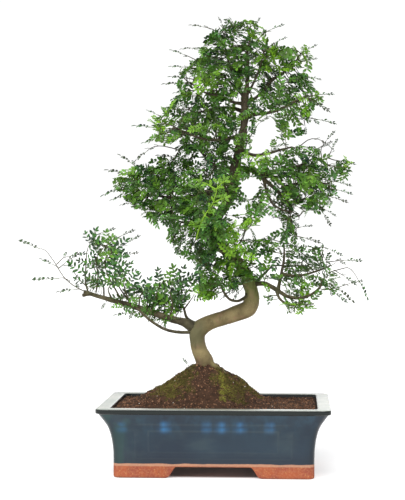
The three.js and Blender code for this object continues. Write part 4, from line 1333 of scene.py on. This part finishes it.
young = wire.own("youth").between(0.1, 0.9).mix(old, (0.085, 0.120, 0.028))
wire.feed(shader, "Base Color", wire.own("youth").between(1, 2).mix(young, (0.210, 0.380, 0.030)))
wire.feed(shader, "Roughness", mottle * 0.25 + 0.62)
shader.inputs["Specular IOR Level"].default_value = 0.25
rough_bark = streak * 0.7 + (1 - dots.between(0.06, 0.2)) * 0.5
wire.feed(shader, "Normal", wire.bump(rough_bark, 1.0, 0.8))

twig_tree, wire, given = new_tree("round_twigs", {"Sides": "Int", "Material": "Material"})
parts = wire.add(
    "GeometryNodeSeparateGeometry", {"domain": "POINT"}, {0: given["Geometry"], 1: named(wire, "twig")}
)
thick_wood = Wire(twig_tree, parts.socket.node.outputs[1])
lines = wire.add("GeometryNodeMeshToCurve", {}, {0: parts})
profile = wire.add("GeometryNodeCurvePrimitiveCircle", {}, {"Resolution": given["Sides"], "Radius": 1.0})
tubes = wire.add(
    "GeometryNodeCurveToMesh", {},
    {"Curve": lines, "Profile Curve": profile, "Scale": named(wire, "radius"), "Fill Caps": True},
)
tubes = wire.add("GeometryNodeSetShadeSmooth", {}, {0: tubes})
joined = wire.add("GeometryNodeJoinGeometry", {}, {0: thick_wood})
twig_tree.links.new(tubes.socket, joined.socket.node.inputs[0])
close_tree(wire, joined, given["Material"])

solid_count = len(wood_points)
wood = grown(
    shape(
        "wood_lines",
        placed(wood_points + [tuple(p) for p in twig_points]),
        wood_faces,
        [(solid_count + a, solid_count + b) for a, b in twig_edges],
        radius=[0] * solid_count + [r * MM for r in twig_radius],
        youth=[0] * solid_count + twig_youth,
        slender=[0] * trunk_count + [1] * (solid_count - trunk_count + len(twig_points)),
        twig=[0] * solid_count + [1] * len(twig_points),
    ),
    twig_tree, "tree_wood", Sides=5, Material=bark,
)
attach(wood, "root")
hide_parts("trunk")

# LEAVES
# Pinnate leaves, about 30 mm long, alternate along the green twigs: opposite pairs of glossy folded
# leaflets and one at the end, on an arched midrib. Old leaves are dark; the newest at the shoot ends
# are yellow-green.
leaflet_fold = 0.3


def leaflet(foot, ahead, side, face, long, wide, shade):
    """One leaflet: a thin closed blade folded up along its midrib. Wide is half its width."""
    stations = [(0.0, 0.0), (0.20, 0.72), (0.48, 1.0), (0.80, 0.74), (1.0, 0.0)]
    curl = 0.10 * long

    def at(t, across, lift):
        return foot + ahead * (t * long) + side * across + face * (lift - curl * t * t)

    outline = [at(t, -w * wide, w * wide * leaflet_fold) for t, w in stations]
    outline += [at(t, w * wide, w * wide * leaflet_fold) for t, w in stations[-2:0:-1]]
    points = [*outline, at(0.5, 0, 0.02), at(0.5, 0, -0.22)]
    count = len(outline)
    top = [(i, (i + 1) % count, count) for i in range(count)]
    bottom = [((i + 1) % count, i, count + 1) for i in range(count)]
    under = [0.25] * count + [0, 1]
    return points, top + bottom, under, [shade] * len(points)


def pinnate_leaf(long, pairs, leaflet_long, leaflet_wide, arch, seed):
    """One leaf along +X in its own frame, its upper face to +Z. A leaflet's half width is given as a
    share of its length."""
    draw = random.Random(seed)
    points, faces, under, shade, midrib = [], [], [], [], []

    def rib(t):
        return Vector((t * long, 0.05 * long * math.sin(2.5 * t + seed), -arch * long * t * t))

    def add(new_points, new_faces, new_under, new_shade, is_rib=0.0):
        first = len(points)
        points.extend(new_points)
        faces.extend(tuple(first + i for i in face) for face in new_faces)
        under.extend(new_under)
        shade.extend(new_shade)
        midrib.extend([is_rib] * len(new_points))

    stem = [
        [rib(t) + Vector((0, math.cos(a), math.sin(a))) * (0.40 - 0.22 * t) for a in (0.5, 2.6, 4.7)]
        for t in (0, 0.28, 0.56, 0.84)
    ]
    stem_points = [p for ring in stem for p in ring]
    add(stem_points, loft(stem), [0.0] * len(stem_points), [0.8] * len(stem_points), 1.0)
    first_pair = 0.2
    for i in range(pairs):
        t = first_pair + (0.82 - first_pair) * i / (pairs - 1)
        size = leaflet_long * (0.84 + 0.26 * math.sin(math.pi * (0.15 + 0.8 * i / (pairs - 1))))
        for hand in (-1, 1):
            angle = math.radians(draw.uniform(46, 66)) * hand
            ahead = Vector((math.cos(angle), math.sin(angle), draw.uniform(-0.1, 0.4))).normalized()
            face = Vector((draw.uniform(-0.6, 0.6), -0.3 * hand + draw.uniform(-0.5, 0.5), 1)).normalized()
            side = face.cross(ahead).normalized()
            face = ahead.cross(side)
            foot_at = rib(t) + ahead * 0.3
            size_here = size * draw.uniform(0.85, 1.1)
            wide = leaflet_wide * size_here
            add(*leaflet(foot_at, ahead, side, face, size_here, wide, draw.random()))
    end_ahead = (rib(1) - rib(0.84)).normalized()
    end_side = Vector((0, 1, 0))
    end_face = end_ahead.cross(end_side).normalized()
    wide = leaflet_wide * leaflet_long
    add(*leaflet(rib(0.84), end_ahead, end_side, end_face, leaflet_long * 1.05, wide, draw.random()))
    return [p * MM for p in points], faces, {"under": under, "shade": shade, "midrib": midrib}


# Five common leaves, two narrow ones of the low left stems, the long leaf of a far shoot, then the leaf
# of thin shoots
leaf_kinds = kinds_of("pinnate_leaf", [
    pinnate_leaf(32, 5, 8.4, 0.26, 0.10, 1), pinnate_leaf(34, 5, 8.7, 0.25, 0.22, 2),
    pinnate_leaf(28, 4, 8.8, 0.26, 0.30, 3), pinnate_leaf(24, 4, 8.4, 0.27, 0.12, 4),
    pinnate_leaf(31, 5, 8.2, 0.26, 0.05, 5), pinnate_leaf(34, 4, 10.4, 0.22, 0.10, 6),
    pinnate_leaf(29, 3, 10.4, 0.23, 0.04, 7), pinnate_leaf(26, 5, 3.4, 0.50, 0.04, 8),
    pinnate_leaf(24, 5, 5.8, 0.27, 0.08, 9),
])
common_kinds = 5
stem_kinds, far_kind, small_kind = (5, 6), 7, 8

leaf_finish, shader, wire = finish("glossy_pepper_leaf")
patch = wire.cloud(5, 2)
tone = wire.own("shade") * 0.75 + patch * 0.25
green = tone.between(0.15, 0.85).mix((0.003, 0.020, 0.013), (0.052, 0.182, 0.028))
green = wire.own("tint").mix(green, (0.250, 0.500, 0.016))
green = (wire.own("tint") * -1).mix(green, (0.036, 0.034, 0.018))
green = (wire.own("under") * 0.3).mix(green, (0.075, 0.140, 0.050))
wire.feed(shader, "Base Color", (wire.own("midrib") * 0.7).mix(green, (0.130, 0.170, 0.045)))
wire.feed(shader, "Roughness", patch * 0.22 + 0.30)
shader.inputs["Specular IOR Level"].default_value = 0.32
wire.feed(shader, "Normal", wire.bump(wire.cloud(0.9, 2), 0.12, 0.5))

leaf_tree, wire, given = new_tree("leaves_on_twigs", {"Kinds": "Collection", "Material": "Material"})
turn = wire.add(
    "FunctionNodeAxesToRotation", {"primary_axis": "X", "secondary_axis": "Z"},
    {0: named(wire, "along", "FLOAT_VECTOR"), 1: named(wire, "face", "FLOAT_VECTOR")},
)
leaf_shapes = wire.add(
    "GeometryNodeCollectionInfo", {}, {"Collection": given["Kinds"], "Separate Children": True}
)
hung = wire.add("GeometryNodeInstanceOnPoints", {}, {
    "Points": given["Geometry"], "Instance": leaf_shapes, "Pick Instance": True,
    "Instance Index": named(wire, "kind"), "Rotation": turn, "Scale": named(wire, "size"),
})
close_tree(wire, hung, given["Material"])

# Shoots in fresh growth: where the camera sees them, and how far round them the leaves are young
fresh_seen = [
    (228, 178, -70, 11), (192, 180, -40, 11), (236, 238, -60, 11), (256, 158, -24, 11),
    (266, 154, -24, 11), (166, 125, -26, 17), (180, 116, -10, 13), (232, 258, -58, 13), (276, 66, 0, 16),
    (247, 224, -50, 16), (296, 54, 10, 15), (200, 78, -30, 15), (202, 88, -28, 13), (258, 42, -14, 16),
    (252, 28, -6, 13), (120, 180, -12, 13), (342, 165, 8, 13), (338, 269, 14, 13), (210, 298, -32, 13),
    (304, 304, -22, 13), (306, 98, -18, 13), (318, 95, -14, 12), (88, 250, 2, 15), (117, 240, 0, 16),
    (236, 248, -56, 13), (212, 130, -30, 12), (330, 142, 8, 13),
]
fresh = [(seen(*place), reach) for *place, reach in fresh_seen]

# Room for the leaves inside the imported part's box, in millimetres from the pot's middle
room_low, room_high = [
    (corner - Vector((pot_middle.x, pot_middle.y, 0))) / MM + shift
    for corner, shift in zip(cad_box, (Vector((1, 1, 1)), Vector((-1, -1, -1))))
]
common_reach = 33
stem_reach = 34
thin_reach = 25


def fits(point, heading, size, half_wide=7.0):
    """Whether a leaf from the point stays in the box"""
    tip = point + heading * size
    return all(
        low + half_wide * size / common_reach < t < high - half_wide * size / common_reach
        for t, low, high in zip(tip, room_low, room_high)
    )


# Leaves lean away from the crown's axis. No more than a few stand one behind another as the camera looks,
# so that the crown stays open.
crown_axis = Vector((16, 10, 0))
in_line_most = 4
line_wide = 12.6
leaves = defaultdict(list)
in_line = defaultdict(int)
draw.shuffle(leaf_seats)
for i, (carrier, point, ahead, at_tip) in enumerate(leaf_seats):
    outward = Vector((point.x - crown_axis.x, point.y - crown_axis.y, 0)).normalized()
    for hand in (0, draw.choice((-1, 1))) if at_tip else (1 if i % 2 else -1,):
        slack = draw.choice((1.05, 1.15, 1.3))
        for attempt in range(6):
            upward = Vector((0, 0, 1)) * draw.uniform(0.4, 1.1) + outward * 0.4
            upward += Vector(draw.uniform(-0.6, 0.6) for _ in range(3))
            side = ahead.cross(upward).normalized() * hand
            spread = math.radians(draw.uniform(40, 65)) if hand else 0
            heading = ahead * math.cos(spread) + side * math.sin(spread) + outward * 0.12
            heading += Vector(draw.uniform(-0.3, 0.3) for _ in range(3)) * (1 + 0.4 * attempt)
            heading.normalize()
            reach = draw.uniform(0.78, 1.08) * (1 - 0.09 * attempt)
            tip = point + heading * (common_reach * reach)
            half_way = (point + tip) / 2
            line = (round(half_way.x / line_wide), round(half_way.z / line_wide))
            room = in_line[line] < in_line_most * fullness.get(carrier, 1)
            if room and in_crown(tip, slack) and fits(point, heading, common_reach * reach):
                break
        else:
            continue
        in_line[line] += 1
        normal = (upward - heading * upward.dot(heading)).normalized()
        fresh_here = max(math.exp(-(((point - place).length / r) ** 2)) for place, r in fresh)
        young = 0.34 * draw.random() ** 3 + (0.12 if at_tip else 0) + 0.7 * fresh_here
        leaves[carrier].append((point, heading, normal, reach, min(1, young), draw.randrange(common_kinds)))
shoot_tints = {thin_shoot: (-0.9, -0.1), leafy_stem: (-0.5, 0.4), fresh_shoot: (0.45, 0.9)}
for carrier, point, ahead, hand, size, sort in shoot_seats:
    leafy = sort != thin_shoot
    normal = Vector((draw.uniform(-0.3, 0.3), -0.9, 0.4) if leafy else (draw.uniform(-0.3, 0.3), -0.4, 1))
    side = normal.cross(ahead).normalized() * hand
    heading = (ahead + side * 1.3).normalized() if hand else ahead
    kind = draw.choice(stem_kinds) if sort == leafy_stem else far_kind if size > far_size else small_kind
    while not fits(point, heading, (stem_reach if leafy else thin_reach) * size, 2) and size > 0.2:
        size *= 0.95
    normal = (normal - heading * normal.dot(heading)).normalized()
    tint = draw.uniform(*shoot_tints[sort])
    leaves[carrier].append((point, heading, normal, size, tint, kind))

# Which limbs' leaves make up each part of the crown
crown_parts = {
    "leaves_top": ("trunk", "leader_left", "leader_right", "top_left", "top_left_back", "top_back"),
    "leaves_top_right": ("right_top", "right_top_up", "right_top_back"),
    "leaves_upper_left": ("upper_left", "upper_left_back", "left_high"),
    "leaves_left": ("left", "mid_left"),
    "leaves_middle": ("front", "centre_low", "hook"),
    "leaves_back": ("back", "mid_back", "back_low", "right_back"),
    "leaves_right": ("right", "right_high", "right_out", "right_low", "right_mid"),
    "leaves_low_right": ("low_right", "low_right_up", "low_right_out", "low_right_down"),
    "leaves_low_left": ("low_left", "low_left_under", "low_left_up"),
}
leaves_made = {}
for part, carriers in crown_parts.items():
    listed = [leaf for carrier in carriers for leaf in leaves[carrier]]
    seats, along, face, size, tint, kind = zip(*listed)
    made = grown(
        shape(
            part, placed(seats), [], along=[tuple(v) for v in along], face=[tuple(v) for v in face],
            size=size, tint=tint, kind=kind,
        ),
        leaf_tree, part, Kinds=leaf_kinds, Material=leaf_finish,
    )
    leaves_made[part] = made
    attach(made, "root")

# Each packed spray is hidden, and the part of the crown nearest to it is found
part_middles = {
    part: Vector(np.mean([v.co for v in made.data.vertices][::50], axis=0))
    for part, made in leaves_made.items()
}
for node in frame["nodes"]:
    if node.startswith("spray_"):
        low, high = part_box(node)
        nearest = min(part_middles, key=lambda part: (part_middles[part] - (low + high) / 2).length)
        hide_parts(node)

# The pieces hold real faces now, so the small shapes that they were made from go
for kinds in (grain_kinds, tuft_kinds, leaf_kinds):
    for one in list(kinds.objects):
        bpy.data.objects.remove(one)
    bpy.data.collections.remove(kinds)

# STUDIO
# White paper floor that glows evenly, with a painted shadow under the pot where its glow stops, in a white
# studio that is brightest round the horizon, with a soft sun from high in front and a weaker one from each
# of the left and the back.
floor_half = 40
floor = shape(
    "paper_floor",
    [(x * floor_half, y * floor_half, 0) for x, y in ((-1, -1), (1, -1), (1, 1), (-1, 1))],
    [(0, 1, 2, 3)],
)
paper, shader, wire = finish("white_paper")
white = wire.cloud(300, 2).between(0.2, 0.8).mix((0.49, 0.49, 0.49), (0.51, 0.51, 0.505))
wire.feed(shader, "Base Color", white)
# Painted shadow under the pot: the floor's glow is put out over the pot's footprint, fading at its edge
dark_long, dark_wide, dark_edge = 0.142, 0.094, 0.024
across_floor = wire.maths("ABSOLUTE", wire.place("X") - pot_middle.x)
along_floor = wire.maths("ABSOLUTE", wire.place("Y") - pot_middle.y)
painted_shadow_under_pot = (1 - across_floor.between(dark_long - dark_edge, dark_long)) * (
    1 - along_floor.between(dark_wide - dark_edge, dark_wide)
)
wire.feed(shader, "Emission Color", painted_shadow_under_pot.mix((1, 1, 1), (0.02, 0.02, 0.02)))
shader.inputs["Roughness"].default_value = 0.9
shader.inputs["Emission Strength"].default_value = 0.6
dress(floor, paper)

world = bpy.data.worlds.new("white_studio")
world.use_nodes = True
wire = Wire(world.node_tree)
toward = wire.add("ShaderNodeTexCoord", output="Generated")
level = wire.add("ShaderNodeSeparateXYZ", {}, {0: toward}, output="Z")
backdrop = world.node_tree.nodes["Background"]
wire.feed(backdrop, "Color", level.between(0.18, 0.42).mix((1.05, 1.05, 1.05), (0.26, 0.26, 0.27)))
bpy.context.scene.world = world


def soft_sun(name, place, softness, strength):
    """A light from far off in the direction of the place, as wide as that many degrees"""
    lamp = bpy.data.lights.new(name, "SUN")
    lamp.angle = math.radians(softness)
    lamp.energy = strength
    holder = bpy.data.objects.new(name, lamp)
    holder.rotation_euler = Vector(place).to_track_quat("Z", "Y").to_euler()
    bpy.context.scene.collection.objects.link(holder)


soft_sun("key", (-0.12, -0.75, 1.15), 36, 3.0)
soft_sun("fill", (-0.8, -0.5, 0.6), 60, 0.7)
soft_sun("back", (0.3, 0.9, 0.6), 60, 0.7)

bpy.context.scene.view_settings.view_transform = "Standard"
camera = bpy.data.cameras.new("camera")
camera.sensor_width = 36
camera.lens = focal * camera.sensor_width / picture_tall
stand = bpy.data.objects.new("camera", camera)
stand.location = placed([eye])[0]
stand.rotation_euler = looking.to_track_quat("-Z", "Y").to_euler()
bpy.context.scene.collection.objects.link(stand)
bpy.context.scene.camera = stand
